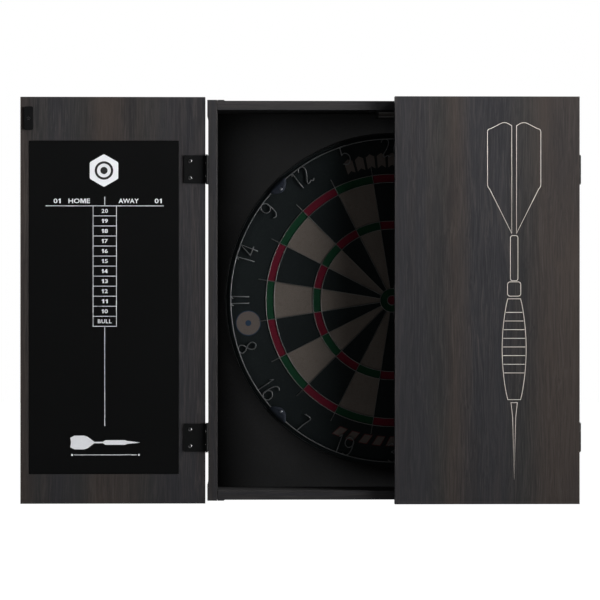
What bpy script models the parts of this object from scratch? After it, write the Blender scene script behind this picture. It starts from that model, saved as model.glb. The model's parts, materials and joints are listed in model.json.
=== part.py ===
"""A wall-hung dartboard cabinet: a shallow case, two hinged doors and a bristle board that lifts off.

Units are metres, +Z is up and +X is to the right seen from the front, which faces -Y. The origin is on the
case's rear face, behind the bull. The left door stands folded right back and the right door is closed.
"""

import math

import bmesh
import bpy
from mathutils import Vector

# ---- Driving dimensions ----
GAP = 0.0003  # clearance between pieces that rest on each other
OVERCUT = 0.001  # how far a cutting tool reaches past the faces it opens

CASE_WIDTH = 0.494
CASE_HEIGHT = 0.532
CASE_DEPTH = 0.080
CASE_STOCK = 0.012  # thickness of the case's four boards
BACK_STOCK = 0.005  # thickness of the back panel
REBATE = 0.006  # how far the back panel reaches into each board
CORNER_RISE = 0.0012  # the case's corners stand this much proud
CORNER_RUN = 0.022  # and for this far along each side
WALL_SCREW_OFFSET = 0.120
WALL_SCREW_HOLE = 0.0028

DOOR_WIDTH = 0.246
DOOR_HEIGHT = 0.542
DOOR_STOCK = 0.015
DOOR_SETBACK = 0.002  # from the hinge axis to the door's edge, and to its inner face
LEFT_DOOR_AT_REST = math.pi  # folded back against the wall

AXIS_X = CASE_WIDTH / 2 + 0.002  # the hinge pins' axis
AXIS_Y = -CASE_DEPTH - 0.0005
HINGE_HEIGHTS = {"upper": 0.1745, "lower": -0.1830}

LEAF_HEIGHT = 0.0375
LEAF_REACH = 0.0300  # from the hinge axis to the leaf's far edge
LEAF_STOCK = 0.0010
LEAF_STAND_OFF = 0.0007  # from the hinge axis to the leaf's open face
LEAF_PLATE_START = 0.0024  # from the hinge axis to the plate, clear of the other leaf's knuckles
KNUCKLE_NECK_END = 0.0030  # the strip from a knuckle laps onto the plate as far as this
KNUCKLE_RADIUS = 0.0020
KNUCKLE_BORE = 0.0013
KNUCKLE_LENGTHS = (0.0100, 0.0175, 0.0100)  # lower, middle and upper
PIN_RADIUS = 0.0010
PIN_HEAD_RADIUS = 0.0017
PIN_HEAD_HEIGHT = 0.0007
HINGE_SCREW_REACH = 0.0223
HINGE_SCREW_SPREAD = 0.01115

SCREW_HEAD_RADIUS = 0.0026
SCREW_HEAD_HEIGHT = 0.0012
SCREW_RADIUS = 0.0014
SCREW_LENGTH = 0.0097
SEAT_DEPTH = 0.004  # how deep the tool for a countersunk seat goes
PAN_HEAD_RADIUS = 0.0030
PAN_HEAD_HEIGHT = 0.0017
PAN_SCREW_RADIUS = 0.0015
PAN_CROWN = (0.75, 0.90)  # the crown's edge, as shares of the head's radius and height
PAN_RIM = 0.45  # the rim's height, as a share of the head's height
RECESS_LENGTH = 0.0030
RECESS_WIDTH = 0.0008
RECESS_DEPTH = 0.0007

SCORE_WIDTH = 0.1995
SCORE_HEIGHT = 0.4440
SCORE_STOCK = 0.0012
SCORE_FROM_HINGE_EDGE = 0.0352
SCORE_FROM_TOP = 0.0584
SCORE_PROUD = 0.0002  # the score panel is let into the door and stands this far above its face

STRIKE_WIDTH = 0.0122
STRIKE_HEIGHT = 0.0313
STRIKE_STOCK = 0.0012
STRIKE_FROM_FREE_EDGE = 0.0050
STRIKE_FROM_TOP = 0.0130
STRIKE_CORNER = 0.0022

POLE_HALF_WIDTH = 0.0194
POLE_STOCK = 0.0016
POLE_HEIGHTS = {"upper": 0.2504, "lower": 0.2451}
POLE_DEPTH = 0.0150
POLE_STAND_OUT = 0.0007  # the poles' front edges stand this far in front of the housing
MAGNET_SETBACK = 0.0010
CATCH_HALF_WIDTH = 0.0225
CATCH_LOW = 0.2430
CATCH_DEPTH = 0.0180
CATCH_EAR = 0.0090
CATCH_EAR_STOCK = 0.0020
CATCH_EAR_SETBACK = 0.0020
CATCH_SCREW_LENGTH = 0.0100
CATCH_PILOT_DEPTH = 0.0090

RACK_WIDTH = 0.080
RACK_HEIGHT = 0.024
RACK_REACH = 0.0240
RACK_STOCK = 0.0025
RACK_SHELF_STOCK = 0.0040
RACK_FROM_AXIS = 0.069
RACK_Z = -0.215
RACK_HOLES = 6
RACK_HOLE_PITCH = 0.013
RACK_HOLE_RADIUS = 0.0036

BOARD_RADIUS = 0.2255
BOARD_THICKNESS = 0.038
BOARD_FACE_Y = -0.049
BAND_STOCK = 0.0022
SECTORS = 20
BULL_RADIUS = 0.00635
OUTER_BULL_RADIUS = 0.0159
TREBLE_RADII = (0.096, 0.107)
DOUBLE_RADII = (0.159, 0.170)
SPOKE_END = 0.182
SPIDER_WIRE = 0.0012
SPIDER_HEIGHT = 0.0014
SECTOR_STEPS = 3  # chords to a sector on the large circles

SEQUENCE = (20, 1, 18, 4, 13, 6, 10, 15, 2, 17, 3, 19, 7, 16, 8, 11, 14, 9, 12, 5)
READ_FROM_INSIDE = (10, 15, 2, 17, 3, 19, 7, 16, 8)  # these stand with their feet on the ring
RING_RADIUS = 0.2175
RING_WIRE = 0.0011
RING_DEPTH = 0.0019  # the ring's centre line stands this far in front of the sisal
RING_STEPS = 80
NUMERAL_HEIGHT = 0.0225
NUMERAL_GAP = 0.0060
NUMERAL_OVERLAP = 0.0006  # how far a numeral's end reaches into the ring
WIRE_SIDES = 4

CLIP_LENGTH = 0.020
CLIP_INNER = 0.2065
CLIP_OUTER = 0.2208
CLIP_HEIGHT = 0.0045
CLIP_ROOF = 0.0012
CLIP_GROOVE = 0.0019

BRACKET_HALF_WIDTH = 0.0212
BRACKET_FOOT = 0.0148
BRACKET_STOCK = 0.0012
BRACKET_FRONT_Y = -0.0104
BRACKET_LOW = -0.022
BRACKET_HIGH = 0.014
BRACKET_SCREW_X = 0.0290
BRACKET_SCREW_Z = -0.0040
SLOT_RADIUS = 0.0034
HANGER_RADIUS = 0.0030
HANGER_HEAD_RADIUS = 0.0055
HANGER_HEAD_HEIGHT = 0.0025
HANGER_LENGTH = 0.0200
HANGER_HOLE = 0.0034

# ---- Finishes: colour, roughness, metallic ----
FINISHES = {
    "wood_effect": ((0.045, 0.038, 0.034), 0.55, 0.0),
    "black_panel": ((0.010, 0.010, 0.011), 0.60, 0.0),
    "score_black": ((0.012, 0.013, 0.014), 0.35, 0.0),
    "black_steel": ((0.020, 0.020, 0.021), 0.45, 0.6),
    "bright_steel": ((0.560, 0.560, 0.570), 0.30, 1.0),
    "magnet": ((0.100, 0.095, 0.090), 0.70, 0.2),
    "black_plastic": ((0.020, 0.020, 0.021), 0.50, 0.0),
    "clip_plastic": ((0.110, 0.130, 0.160), 0.45, 0.0),
    "sisal": ((0.030, 0.028, 0.026), 0.90, 0.0),
    "black_band": ((0.013, 0.013, 0.014), 0.50, 0.3),
    "wire": ((0.500, 0.500, 0.500), 0.35, 1.0),
    "white_wire": ((0.620, 0.640, 0.660), 0.45, 0.2),
}


# ---- Helpers ----
def finish(name):
    """The named finish's material, made once."""
    found = bpy.data.materials.get(name)
    if found:
        return found
    colour, roughness, metallic = FINISHES[name]
    made = bpy.data.materials.new(name)
    made.use_nodes = True
    shader = made.node_tree.nodes["Principled BSDF"]
    shader.inputs["Base Color"].default_value = (*colour, 1.0)
    shader.inputs["Roughness"].default_value = roughness
    shader.inputs["Metallic"].default_value = metallic
    return made


def as_mesh(name, bm, finish_name, smooth=False):
    """Turns a bmesh into a mesh with its faces pointing out."""
    bmesh.ops.recalc_face_normals(bm, faces=bm.faces)
    mesh = bpy.data.meshes.new(name)
    bm.to_mesh(mesh)
    bm.free()
    mesh.materials.append(finish(finish_name))
    if smooth:
        mesh.shade_smooth()
        mesh.set_sharp_from_angle(angle=math.radians(35))
    return mesh


def place(name, mesh, parent=None, location=(0, 0, 0), rotation=(0, 0, 0)):
    """Adds one object that shows a mesh."""
    made = bpy.data.objects.new(name, mesh)
    made.parent = parent
    made.location = location
    made.rotation_euler = rotation
    bpy.context.scene.collection.objects.link(made)
    return made


def axis_empty(name, location, rotation=(0, 0, 0)):
    """An empty on a joint's axis, to which the moving pieces are parented."""
    return place(name, None, location=location, rotation=rotation)


def block(low, high):
    """A box between two corners."""
    bm = bmesh.new()
    bmesh.ops.create_cube(bm, size=1.0)
    low, high = Vector(low), Vector(high)
    size = Vector([abs(a - b) for a, b in zip(low, high)])
    bmesh.ops.scale(bm, vec=size, verts=bm.verts)
    bmesh.ops.translate(bm, vec=(low + high) / 2, verts=bm.verts)
    return bm


def prism(outline, axis, start, end):
    """Extrudes an outline along an axis. The outline's pairs are the other two coordinates, in X, Y, Z order."""
    slot = "XYZ".index(axis)
    bm = bmesh.new()
    corners = []
    for pair in outline:
        point = list(pair)
        point.insert(slot, start)
        corners.append(bm.verts.new(point))
    face = bm.faces.new(corners)
    extruded = bmesh.ops.extrude_face_region(bm, geom=[face])
    shift = Vector((0, 0, 0))
    shift[slot] = end - start
    moved = [item for item in extruded["geom"] if isinstance(item, bmesh.types.BMVert)]
    bmesh.ops.translate(bm, vec=shift, verts=moved)
    return bm


def turned(profile, segments, axis="Z", centre=(0, 0, 0), closed=False):
    """Turns a profile of (radius, height) pairs round an axis; a radius of 0 makes a pole."""
    slot = "XYZ".index(axis)
    bm = bmesh.new()
    rings = []
    for radius, height in profile:
        count = segments if radius > 0 else 1
        ring = []
        for step in range(count):
            turn = 2 * math.pi * step / segments
            point = [radius * math.cos(turn), radius * math.sin(turn)]
            point.insert(slot, height)
            ring.append(bm.verts.new(Vector(point) + Vector(centre)))
        rings.append(ring)
    pairs = list(zip(rings, rings[1:]))
    if closed:
        pairs.append((rings[-1], rings[0]))
    for first, second in pairs:
        for step in range(segments):
            following = (step + 1) % segments
            corners = [
                first[step % len(first)],
                first[following % len(first)],
                second[following % len(second)],
                second[step % len(second)],
            ]
            bm.faces.new(list(dict.fromkeys(corners)))
    return bm


def rod(radius, start, end, axis="Z", centre=(0, 0, 0), segments=16):
    """A plain cylinder."""
    return turned([(0, start), (radius, start), (radius, end), (0, end)], segments, axis, centre)


def combined(bm, others, operation):
    """Applies one exact Boolean for each of the other bodies, which it uses up, and returns the result."""
    scratch = bpy.data.objects.new("scratch", bpy.data.meshes.new("scratch"))
    tools = []
    for item, shape in [(scratch, bm)] + [(None, other) for other in others]:
        if item is None:
            item = bpy.data.objects.new("tool", bpy.data.meshes.new("tool"))
            tools.append(item)
        bmesh.ops.recalc_face_normals(shape, faces=shape.faces)
        shape.to_mesh(item.data)
        shape.free()
        bpy.context.scene.collection.objects.link(item)
    for tool in tools:
        change = scratch.modifiers.new("combine", "BOOLEAN")
        change.object = tool
        change.operation = operation
        change.solver = "EXACT"
    result = bmesh.new()
    result.from_object(scratch, bpy.context.evaluated_depsgraph_get())
    for item in [scratch] + tools:
        mesh = item.data
        bpy.data.objects.remove(item)
        bpy.data.meshes.remove(mesh)
    return result


def cut(bm, *tools):
    return combined(bm, tools, "DIFFERENCE")


def joined(bm, *others):
    return combined(bm, others, "UNION")


def wire(path, radius, closed=False, sides=WIRE_SIDES):
    """A wire of even thickness along a flat path in the XZ plane, with mitred bends."""
    bm = bmesh.new()
    points = [Vector((x, y, z)) for x, y, z in path]
    count = len(points)
    rings = []
    for index, point in enumerate(points):
        before = points[index - 1] if closed or index > 0 else None
        after = points[(index + 1) % count] if closed or index < count - 1 else None
        arriving = (point - before).normalized() if before else (after - point).normalized()
        leaving = (after - point).normalized() if after else arriving
        along = (arriving + leaving).normalized()
        sideways = Vector((along.z, 0, -along.x))
        stretch = 1 / max(along.dot(arriving), 0.5)
        ring = []
        for side in range(sides):
            turn = 2 * math.pi * side / sides
            offset = sideways * (stretch * math.sin(turn)) + Vector((0, math.cos(turn), 0))
            ring.append(bm.verts.new(point + offset * radius))
        rings.append(ring)
    pairs = list(zip(rings, rings[1:]))
    if closed:
        pairs.append((rings[-1], rings[0]))
    else:
        bm.faces.new(rings[0])
        bm.faces.new(rings[-1])
    for first, second in pairs:
        for side in range(sides):
            following = (side + 1) % sides
            bm.faces.new([first[side], first[following], second[following], second[side]])
    return bm


def arc(centre, radii, start, end, steps):
    """Points on an ellipse's arc, with angles in degrees anticlockwise from +X."""
    points = []
    for step in range(steps + 1):
        turn = math.radians(start + (end - start) * step / steps)
        points.append((centre[0] + radii[0] * math.cos(turn), centre[1] + radii[1] * math.sin(turn)))
    return points


# ---- Fasteners ----
def recess_tool(top):
    """The cross-shaped bar that presses the recess into a screw's head."""
    long, wide = RECESS_LENGTH / 2, RECESS_WIDTH / 2
    outline = []
    for x, y in ((1, 0), (0, 1), (-1, 0), (0, -1)):
        outline += [(x * long + y * wide, y * long - x * wide), (x * long - y * wide, y * long + x * wide)]
        outline.append((x * wide - y * wide, y * wide + x * wide))
    return prism(outline, "Z", top - RECESS_DEPTH, top + RECESS_DEPTH)


def countersunk_screw():
    """A countersunk screw whose head's top is at the origin, with its point towards -Z."""
    point = SCREW_LENGTH - 2 * SCREW_RADIUS
    body = turned(
        [
            (0, 0),
            (SCREW_HEAD_RADIUS, 0),
            (SCREW_RADIUS, -SCREW_HEAD_HEIGHT),
            (SCREW_RADIUS, -point),
            (0, -SCREW_LENGTH),
        ],
        12,
    )
    return as_mesh("countersunk_screw", cut(body, recess_tool(0)), "black_steel", smooth=True)


def pan_head(radius, height):
    """The profile of a pan head, from its crown down to its underside's edge."""
    crown_radius, crown_height = PAN_CROWN
    return [
        (0, height),
        (radius * crown_radius, height * crown_height),
        (radius, height * PAN_RIM),
        (radius, 0),
    ]


def pan_screw(name, length, finish_name):
    """A pan head screw whose head's underside is at the origin, with its point towards -Z."""
    shank = [(PAN_SCREW_RADIUS, 0), (PAN_SCREW_RADIUS, -length), (0, -length)]
    body = turned(pan_head(PAN_HEAD_RADIUS, PAN_HEAD_HEIGHT) + shank, 12)
    return as_mesh(name, cut(body, recess_tool(PAN_HEAD_HEIGHT)), finish_name, smooth=True)


def screw_hole(axis, centre, start, end):
    """The tool for a pilot hole that clears a countersunk screw's shank."""
    return rod(SCREW_RADIUS + GAP, start, end, axis, centre, segments=12)


def countersink(axis, centre, face, direction):
    """The tool for a screw's seat, open at a face that looks along direction."""
    wide = SCREW_HEAD_RADIUS + GAP
    narrow = SCREW_RADIUS + GAP
    profile = [
        (0, face + direction * OVERCUT),
        (wide, face + direction * OVERCUT),
        (wide, face),
        (narrow, face - direction * SCREW_HEAD_HEIGHT),
        (narrow, face - direction * SEAT_DEPTH),
        (0, face - direction * SEAT_DEPTH),
    ]
    return turned(profile, 12, axis, centre)


# ---- Hinges ----
def knuckle_spans(middle):
    """The knuckles' (low, high) heights on one leaf: the middle one, or the two outer ones."""
    low = -LEAF_HEIGHT / 2
    spans = []
    for length in KNUCKLE_LENGTHS:
        spans.append((low + GAP / 2, low + length - GAP / 2))
        low += length
    return [spans[1]] if middle else [spans[0], spans[2]]


def hinge_leaf(name, middle):
    """A leaf whose plate runs along +Y from a hinge axis at the origin, with its open face towards +X."""
    face = -LEAF_STAND_OFF
    back = face - LEAF_STOCK
    half = LEAF_HEIGHT / 2
    body = block((back, LEAF_PLATE_START, -half), (face, LEAF_REACH, half))
    parts = []
    for low, high in knuckle_spans(middle):
        parts.append(block((back, 0, low), (face, KNUCKLE_NECK_END, high)))
        parts.append(rod(KNUCKLE_RADIUS, low, high))
    body = joined(body, *parts)
    tools = [rod(KNUCKLE_BORE, -half - OVERCUT, half + OVERCUT, segments=12)]
    for z in (-HINGE_SCREW_SPREAD, HINGE_SCREW_SPREAD):
        tools.append(countersink("X", (0, HINGE_SCREW_REACH, z), face, 1))
    return as_mesh(name, cut(body, *tools), "black_steel", smooth=True)


def hinge_pin():
    """A pin with a riveted head at each end."""
    shank = LEAF_HEIGHT / 2 + GAP
    end = shank + PIN_HEAD_HEIGHT
    profile = [
        (0, -end),
        (PIN_HEAD_RADIUS, -end),
        (PIN_HEAD_RADIUS, -shank),
        (PIN_RADIUS, -shank),
        (PIN_RADIUS, shank),
        (PIN_HEAD_RADIUS, shank),
        (PIN_HEAD_RADIUS, end),
        (0, end),
    ]
    return as_mesh("hinge_pin", turned(profile, 12), "black_steel", smooth=True)


def build_hinges(side_name, side, door_axis, meshes):
    """Both hinges of one door. side is 1 on the right and -1 on the left."""
    turned_over = 0 if side > 0 else math.pi
    for level, height in HINGE_HEIGHTS.items():
        prefix = f"{side_name}_{level}_hinge"
        on_case = (side * AXIS_X, AXIS_Y, height)
        place(f"{prefix}_case_leaf", meshes["case_leaf"], None, on_case, (0, turned_over, 0))
        place(f"{prefix}_pin", meshes["pin"], None, on_case)
        quarter = side * math.pi / 2
        place(f"{prefix}_door_leaf", meshes["door_leaf"], door_axis, (0, 0, height), (0, turned_over, quarter))
        for end, z in (("low", -HINGE_SCREW_SPREAD), ("high", HINGE_SCREW_SPREAD)):
            case_head = (side * (AXIS_X - LEAF_STAND_OFF), AXIS_Y + HINGE_SCREW_REACH, height + z)
            outwards = (0, side * math.pi / 2, 0)
            place(f"{prefix}_case_screw_{end}", meshes["screw"], None, case_head, outwards)
            door_head = (-side * HINGE_SCREW_REACH, -LEAF_STAND_OFF, height + z)
            place(f"{prefix}_door_screw_{end}", meshes["screw"], door_axis, door_head, (-math.pi / 2, 0, 0))


# ---- Case ----
def rebate_tool():
    """The room behind the case's four boards that takes the back panel."""
    half_width = CASE_WIDTH / 2 - CASE_STOCK + REBATE + GAP
    half_height = CASE_HEIGHT / 2 - CASE_STOCK + REBATE + GAP
    return block((-half_width, -BACK_STOCK - GAP, -half_height), (half_width, OVERCUT, half_height))


def side_panel_outline(side):
    """A side board seen from the front, with its ends standing proud."""
    inner = CASE_WIDTH / 2 - CASE_STOCK
    outer = CASE_WIDTH / 2
    proud = outer + CORNER_RISE
    top = CASE_HEIGHT / 2 + CORNER_RISE
    step = top - CORNER_RUN
    right = [
        (inner, top),
        (proud, top),
        (proud, step),
        (outer, step - CORNER_RISE),
    ]
    lower = [(x, -z) for x, z in reversed(right)]
    return [(side * x, z) for x, z in right + lower]


def build_side_panel(name, side):
    outer = CASE_WIDTH / 2
    bm = prism(side_panel_outline(side), "Y", -CASE_DEPTH, 0)
    tools = [rebate_tool()]
    for height in HINGE_HEIGHTS.values():
        for z in (-HINGE_SCREW_SPREAD, HINGE_SCREW_SPREAD):
            centre = (0, AXIS_Y + HINGE_SCREW_REACH, height + z)
            reach = AXIS_X - LEAF_STAND_OFF - SCREW_LENGTH - 2 * GAP
            tools.append(screw_hole("X", centre, side * reach, side * (outer + OVERCUT)))
    place(name, as_mesh(name, cut(bm, *tools), "wood_effect"))


def build_cross_panel(name, level):
    """The top or bottom board, which fits between the sides. level is 1 at the top and -1 at the bottom."""
    half = CASE_WIDTH / 2 - CASE_STOCK - GAP
    inner = CASE_HEIGHT / 2 - CASE_STOCK
    outer = CASE_HEIGHT / 2
    proud_from = CASE_WIDTH / 2 + CORNER_RISE - CORNER_RUN
    right = [
        (proud_from - CORNER_RISE, outer),
        (proud_from, outer + CORNER_RISE),
        (half, outer + CORNER_RISE),
        (half, inner),
    ]
    left = [(-x, z) for x, z in reversed(right)]
    bm = prism([(x, level * z) for x, z in right + left], "Y", -CASE_DEPTH, 0)
    tools = [rebate_tool()]
    if level > 0:
        for side in (-1, 1):
            centre = (side * (CATCH_HALF_WIDTH + CATCH_EAR / 2), catch_screw_y(), 0)
            pilot_end = inner + CATCH_PILOT_DEPTH
            tools.append(rod(PAN_SCREW_RADIUS + GAP, inner - OVERCUT, pilot_end, "Z", centre, 12))
    place(name, as_mesh(name, cut(bm, *tools), "wood_effect"))


def build_back_panel():
    half_width = CASE_WIDTH / 2 - CASE_STOCK + REBATE
    half_height = CASE_HEIGHT / 2 - CASE_STOCK + REBATE
    bm = block((-half_width, -BACK_STOCK, -half_height), (half_width, 0, half_height))
    tools = []
    for side in (-1, 1):
        pilot = (side * BRACKET_SCREW_X, 0, BRACKET_SCREW_Z)
        tools.append(rod(PAN_SCREW_RADIUS + GAP, -BACK_STOCK - OVERCUT, -2 * GAP, "Y", pilot, 12))
        for level in (-1, 1):
            wall_hole = (side * WALL_SCREW_OFFSET, 0, level * WALL_SCREW_OFFSET)
            tools.append(rod(WALL_SCREW_HOLE, -BACK_STOCK - OVERCUT, OVERCUT, "Y", wall_hole))
    place("back_panel", as_mesh("back_panel", cut(bm, *tools), "black_panel"))


# ---- Magnetic catch ----
def catch_screw_y():
    return -CASE_DEPTH + CATCH_DEPTH / 2


def build_catch():
    """A double magnetic catch screwed up into the top panel: housing, magnet, two pole plates and screws."""
    roof = CASE_HEIGHT / 2 - CASE_STOCK - GAP
    front = -CASE_DEPTH
    back = front + CATCH_DEPTH
    upper, lower = POLE_HEIGHTS["upper"], POLE_HEIGHTS["lower"]
    half_stock = POLE_STOCK / 2
    pole_front = front - POLE_STAND_OUT
    pole_back = front + POLE_DEPTH

    body = block((-CATCH_HALF_WIDTH, front, CATCH_LOW), (CATCH_HALF_WIDTH, back, roof))
    ear_end = CATCH_HALF_WIDTH + CATCH_EAR
    ear_front = front + CATCH_EAR_SETBACK
    ears = block((-ear_end, ear_front, roof - CATCH_EAR_STOCK), (ear_end, back, roof))
    pocket_half = POLE_HALF_WIDTH + GAP
    pocket = block(
        (-pocket_half, front - OVERCUT, lower - half_stock - GAP),
        (pocket_half, pole_back + GAP, upper + half_stock + GAP),
    )
    tools = [pocket]
    for side in (-1, 1):
        centre = (side * (CATCH_HALF_WIDTH + CATCH_EAR / 2), catch_screw_y(), 0)
        under_ear = roof - CATCH_EAR_STOCK - OVERCUT
        tools.append(rod(PAN_SCREW_RADIUS + GAP, under_ear, roof + OVERCUT, "Z", centre, 12))
    housing = cut(joined(body, ears), *tools)
    place("catch_housing", as_mesh("catch_housing", housing, "black_plastic"))

    for level, height in POLE_HEIGHTS.items():
        name = f"catch_pole_{level}"
        low = (-POLE_HALF_WIDTH, pole_front, height - half_stock)
        high = (POLE_HALF_WIDTH, pole_back, height + half_stock)
        place(name, as_mesh(name, block(low, high), "bright_steel"))

    magnet = block(
        (-POLE_HALF_WIDTH, front + MAGNET_SETBACK, lower + half_stock + GAP),
        (POLE_HALF_WIDTH, pole_back, upper - half_stock - GAP),
    )
    place("catch_magnet", as_mesh("catch_magnet", magnet, "magnet"))

    screw = pan_screw("catch_screw", CATCH_SCREW_LENGTH, "bright_steel")
    for side_name, side in (("left", -1), ("right", 1)):
        head = (side * (CATCH_HALF_WIDTH + CATCH_EAR / 2), catch_screw_y(), roof - CATCH_EAR_STOCK - GAP)
        place(f"catch_screw_{side_name}", screw, None, head, (math.pi, 0, 0))


# ---- Board bracket and hanging screw ----
def build_bracket():
    """A hat-shaped plate with a slot, open at the top, that the board's hanging screw drops into."""
    foot_back = -BACK_STOCK - GAP
    foot_front = foot_back - BRACKET_STOCK
    inner = BRACKET_HALF_WIDTH - BRACKET_STOCK
    web_back = BRACKET_FRONT_Y + BRACKET_STOCK
    foot_end = BRACKET_HALF_WIDTH + BRACKET_FOOT
    right = [
        (BRACKET_HALF_WIDTH, BRACKET_FRONT_Y),
        (BRACKET_HALF_WIDTH, foot_front),
        (foot_end, foot_front),
        (foot_end, foot_back),
        (inner, foot_back),
        (inner, web_back),
    ]
    left = [(-x, y) for x, y in reversed(right)]
    body = prism(right + left, "Z", BRACKET_LOW, BRACKET_HIGH)
    seat = arc((0, 0), (SLOT_RADIUS, SLOT_RADIUS), 180, 360, 8)
    mouth = BRACKET_HIGH + OVERCUT
    slot = [(-SLOT_RADIUS, mouth)] + seat + [(SLOT_RADIUS, mouth)]
    tools = [prism(slot, "Y", BRACKET_FRONT_Y - OVERCUT, web_back + OVERCUT)]
    for side in (-1, 1):
        centre = (side * BRACKET_SCREW_X, 0, BRACKET_SCREW_Z)
        ends = (foot_front - OVERCUT, foot_back + OVERCUT)
        tools.append(rod(PAN_SCREW_RADIUS + GAP, *ends, "Y", centre, 12))
    place("board_bracket", as_mesh("board_bracket", cut(body, *tools), "bright_steel"))

    screw = pan_screw("bracket_screw", BRACKET_STOCK + BACK_STOCK - GAP, "bright_steel")
    for side_name, side in (("left", -1), ("right", 1)):
        head = (side * BRACKET_SCREW_X, foot_front - GAP, BRACKET_SCREW_Z)
        place(f"bracket_screw_{side_name}", screw, None, head, (math.pi / 2, 0, 0))


def build_hanger_screw():
    """The screw in the board's back. Its origin is on the bull's axis, under the head."""
    shoulder = BRACKET_FRONT_Y + BRACKET_STOCK + GAP
    into_board = BOARD_FACE_Y + BOARD_THICKNESS - HANGER_LENGTH - shoulder
    shank = [(HANGER_RADIUS, 0), (HANGER_RADIUS, into_board + HANGER_RADIUS), (0, into_board)]
    head = pan_head(HANGER_HEAD_RADIUS, HANGER_HEAD_HEIGHT)
    body = cut(turned(head + shank, 16), recess_tool(HANGER_HEAD_HEIGHT))
    axis = axis_empty("board_lift_axis", (0, shoulder, 0))
    place("hanger_screw", as_mesh("hanger_screw", body, "bright_steel", True), axis, (0, 0, 0), (-math.pi / 2, 0, 0))


# ---- Doors, drawn closed about their hinge axis ----
def build_strike(side_name, side, axis, screw):
    """The steel plate that the catch holds, in the door's upper free corner."""
    edge = DOOR_SETBACK + DOOR_WIDTH - STRIKE_FROM_FREE_EDGE
    top = DOOR_HEIGHT / 2 - STRIKE_FROM_TOP
    seat = -DOOR_SETBACK + GAP
    face = seat + STRIKE_STOCK
    mid_x = edge - STRIKE_WIDTH / 2
    mid_z = top - STRIKE_HEIGHT / 2
    dx = STRIKE_WIDTH / 2 - STRIKE_CORNER
    dz = STRIKE_HEIGHT / 2 - STRIKE_CORNER
    outline = []
    for x, z, start in ((dx, dz, 0), (-dx, dz, 90), (-dx, -dz, 180), (dx, -dz, 270)):
        centre = (-side * mid_x + x, mid_z + z)
        outline += arc(centre, (STRIKE_CORNER, STRIKE_CORNER), start, start + 90, 4)
    body = prism(outline, "Y", seat, face)
    body = cut(body, countersink("Y", (-side * mid_x, 0, mid_z), face, 1))
    name = f"{side_name}_strike_plate"
    place(name, as_mesh(name, body, "black_steel"), axis)
    place(f"{side_name}_strike_screw", screw, axis, (-side * mid_x, face, mid_z), (-math.pi / 2, 0, 0))
    return (-side * mid_x, 0, mid_z)


def score_panel_box(side, clearance):
    """Two corners of the score panel, grown all round and to its back by a clearance."""
    near = DOOR_SETBACK + SCORE_FROM_HINGE_EDGE
    ends = sorted((-side * near, -side * (near + SCORE_WIDTH)))
    top = DOOR_HEIGHT / 2 - SCORE_FROM_TOP
    face = -DOOR_SETBACK + SCORE_PROUD
    low = (ends[0] - clearance, face - SCORE_STOCK - clearance, top - SCORE_HEIGHT - clearance)
    high = (ends[1] + clearance, face, top + clearance)
    return low, high


def build_door_panel(side_name, side, axis, strike_at):
    near = -side * DOOR_SETBACK
    far = -side * (DOOR_SETBACK + DOOR_WIDTH)
    low = (min(near, far), -DOOR_SETBACK - DOOR_STOCK, -DOOR_HEIGHT / 2)
    high = (max(near, far), -DOOR_SETBACK, DOOR_HEIGHT / 2)
    centres = [strike_at]
    for height in HINGE_HEIGHTS.values():
        for z in (-HINGE_SCREW_SPREAD, HINGE_SCREW_SPREAD):
            centres.append((-side * HINGE_SCREW_REACH, 0, height + z))
    deepest = -LEAF_STAND_OFF - SCREW_LENGTH - 2 * GAP
    tools = [screw_hole("Y", centre, deepest, 0) for centre in centres]
    if side < 0:
        pocket_low, pocket_high = score_panel_box(side, GAP)
        tools.append(block(pocket_low, pocket_high))
    name = f"{side_name}_door_panel"
    place(name, as_mesh(name, cut(block(low, high), *tools), "wood_effect"), axis)


def build_score_panel(axis, side):
    low, high = score_panel_box(side, 0)
    place("score_panel", as_mesh("score_panel", block(low, high), "score_black"), axis)


def build_dart_rack(axis, side):
    """A moulded shelf on a door's inner face, with a row of holes for six darts."""
    back = -DOOR_SETBACK + GAP
    front = back + RACK_STOCK
    lip = back + RACK_REACH
    bottom = RACK_Z - RACK_HEIGHT / 2
    top = RACK_Z + RACK_HEIGHT / 2
    shelf_top = RACK_Z + RACK_SHELF_STOCK / 2
    shelf_bottom = RACK_Z - RACK_SHELF_STOCK / 2
    outline = [
        (back, bottom),
        (front, bottom),
        (front, shelf_bottom),
        (lip, shelf_bottom),
        (lip, shelf_top),
        (front, shelf_top),
        (front, top),
        (back, top),
    ]
    middle = -side * RACK_FROM_AXIS
    body = prism(outline, "X", middle - RACK_WIDTH / 2, middle + RACK_WIDTH / 2)
    tools = []
    for index in range(RACK_HOLES):
        x = middle + (index - (RACK_HOLES - 1) / 2) * RACK_HOLE_PITCH
        centre = (x, (front + lip) / 2, 0)
        ends = (shelf_bottom - OVERCUT, shelf_top + OVERCUT)
        tools.append(rod(RACK_HOLE_RADIUS, *ends, "Z", centre, 12))
    place("dart_rack", as_mesh("dart_rack", cut(body, *tools), "black_plastic"), axis)


def build_door(side_name, side, turn, screw):
    axis = axis_empty(f"{side_name}_door_axis", (side * AXIS_X, AXIS_Y, 0), (0, 0, turn))
    strike_at = build_strike(side_name, side, axis, screw)
    build_door_panel(side_name, side, axis, strike_at)
    if side < 0:
        build_score_panel(axis, side)
    else:
        build_dart_rack(axis, side)
    return axis


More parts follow.
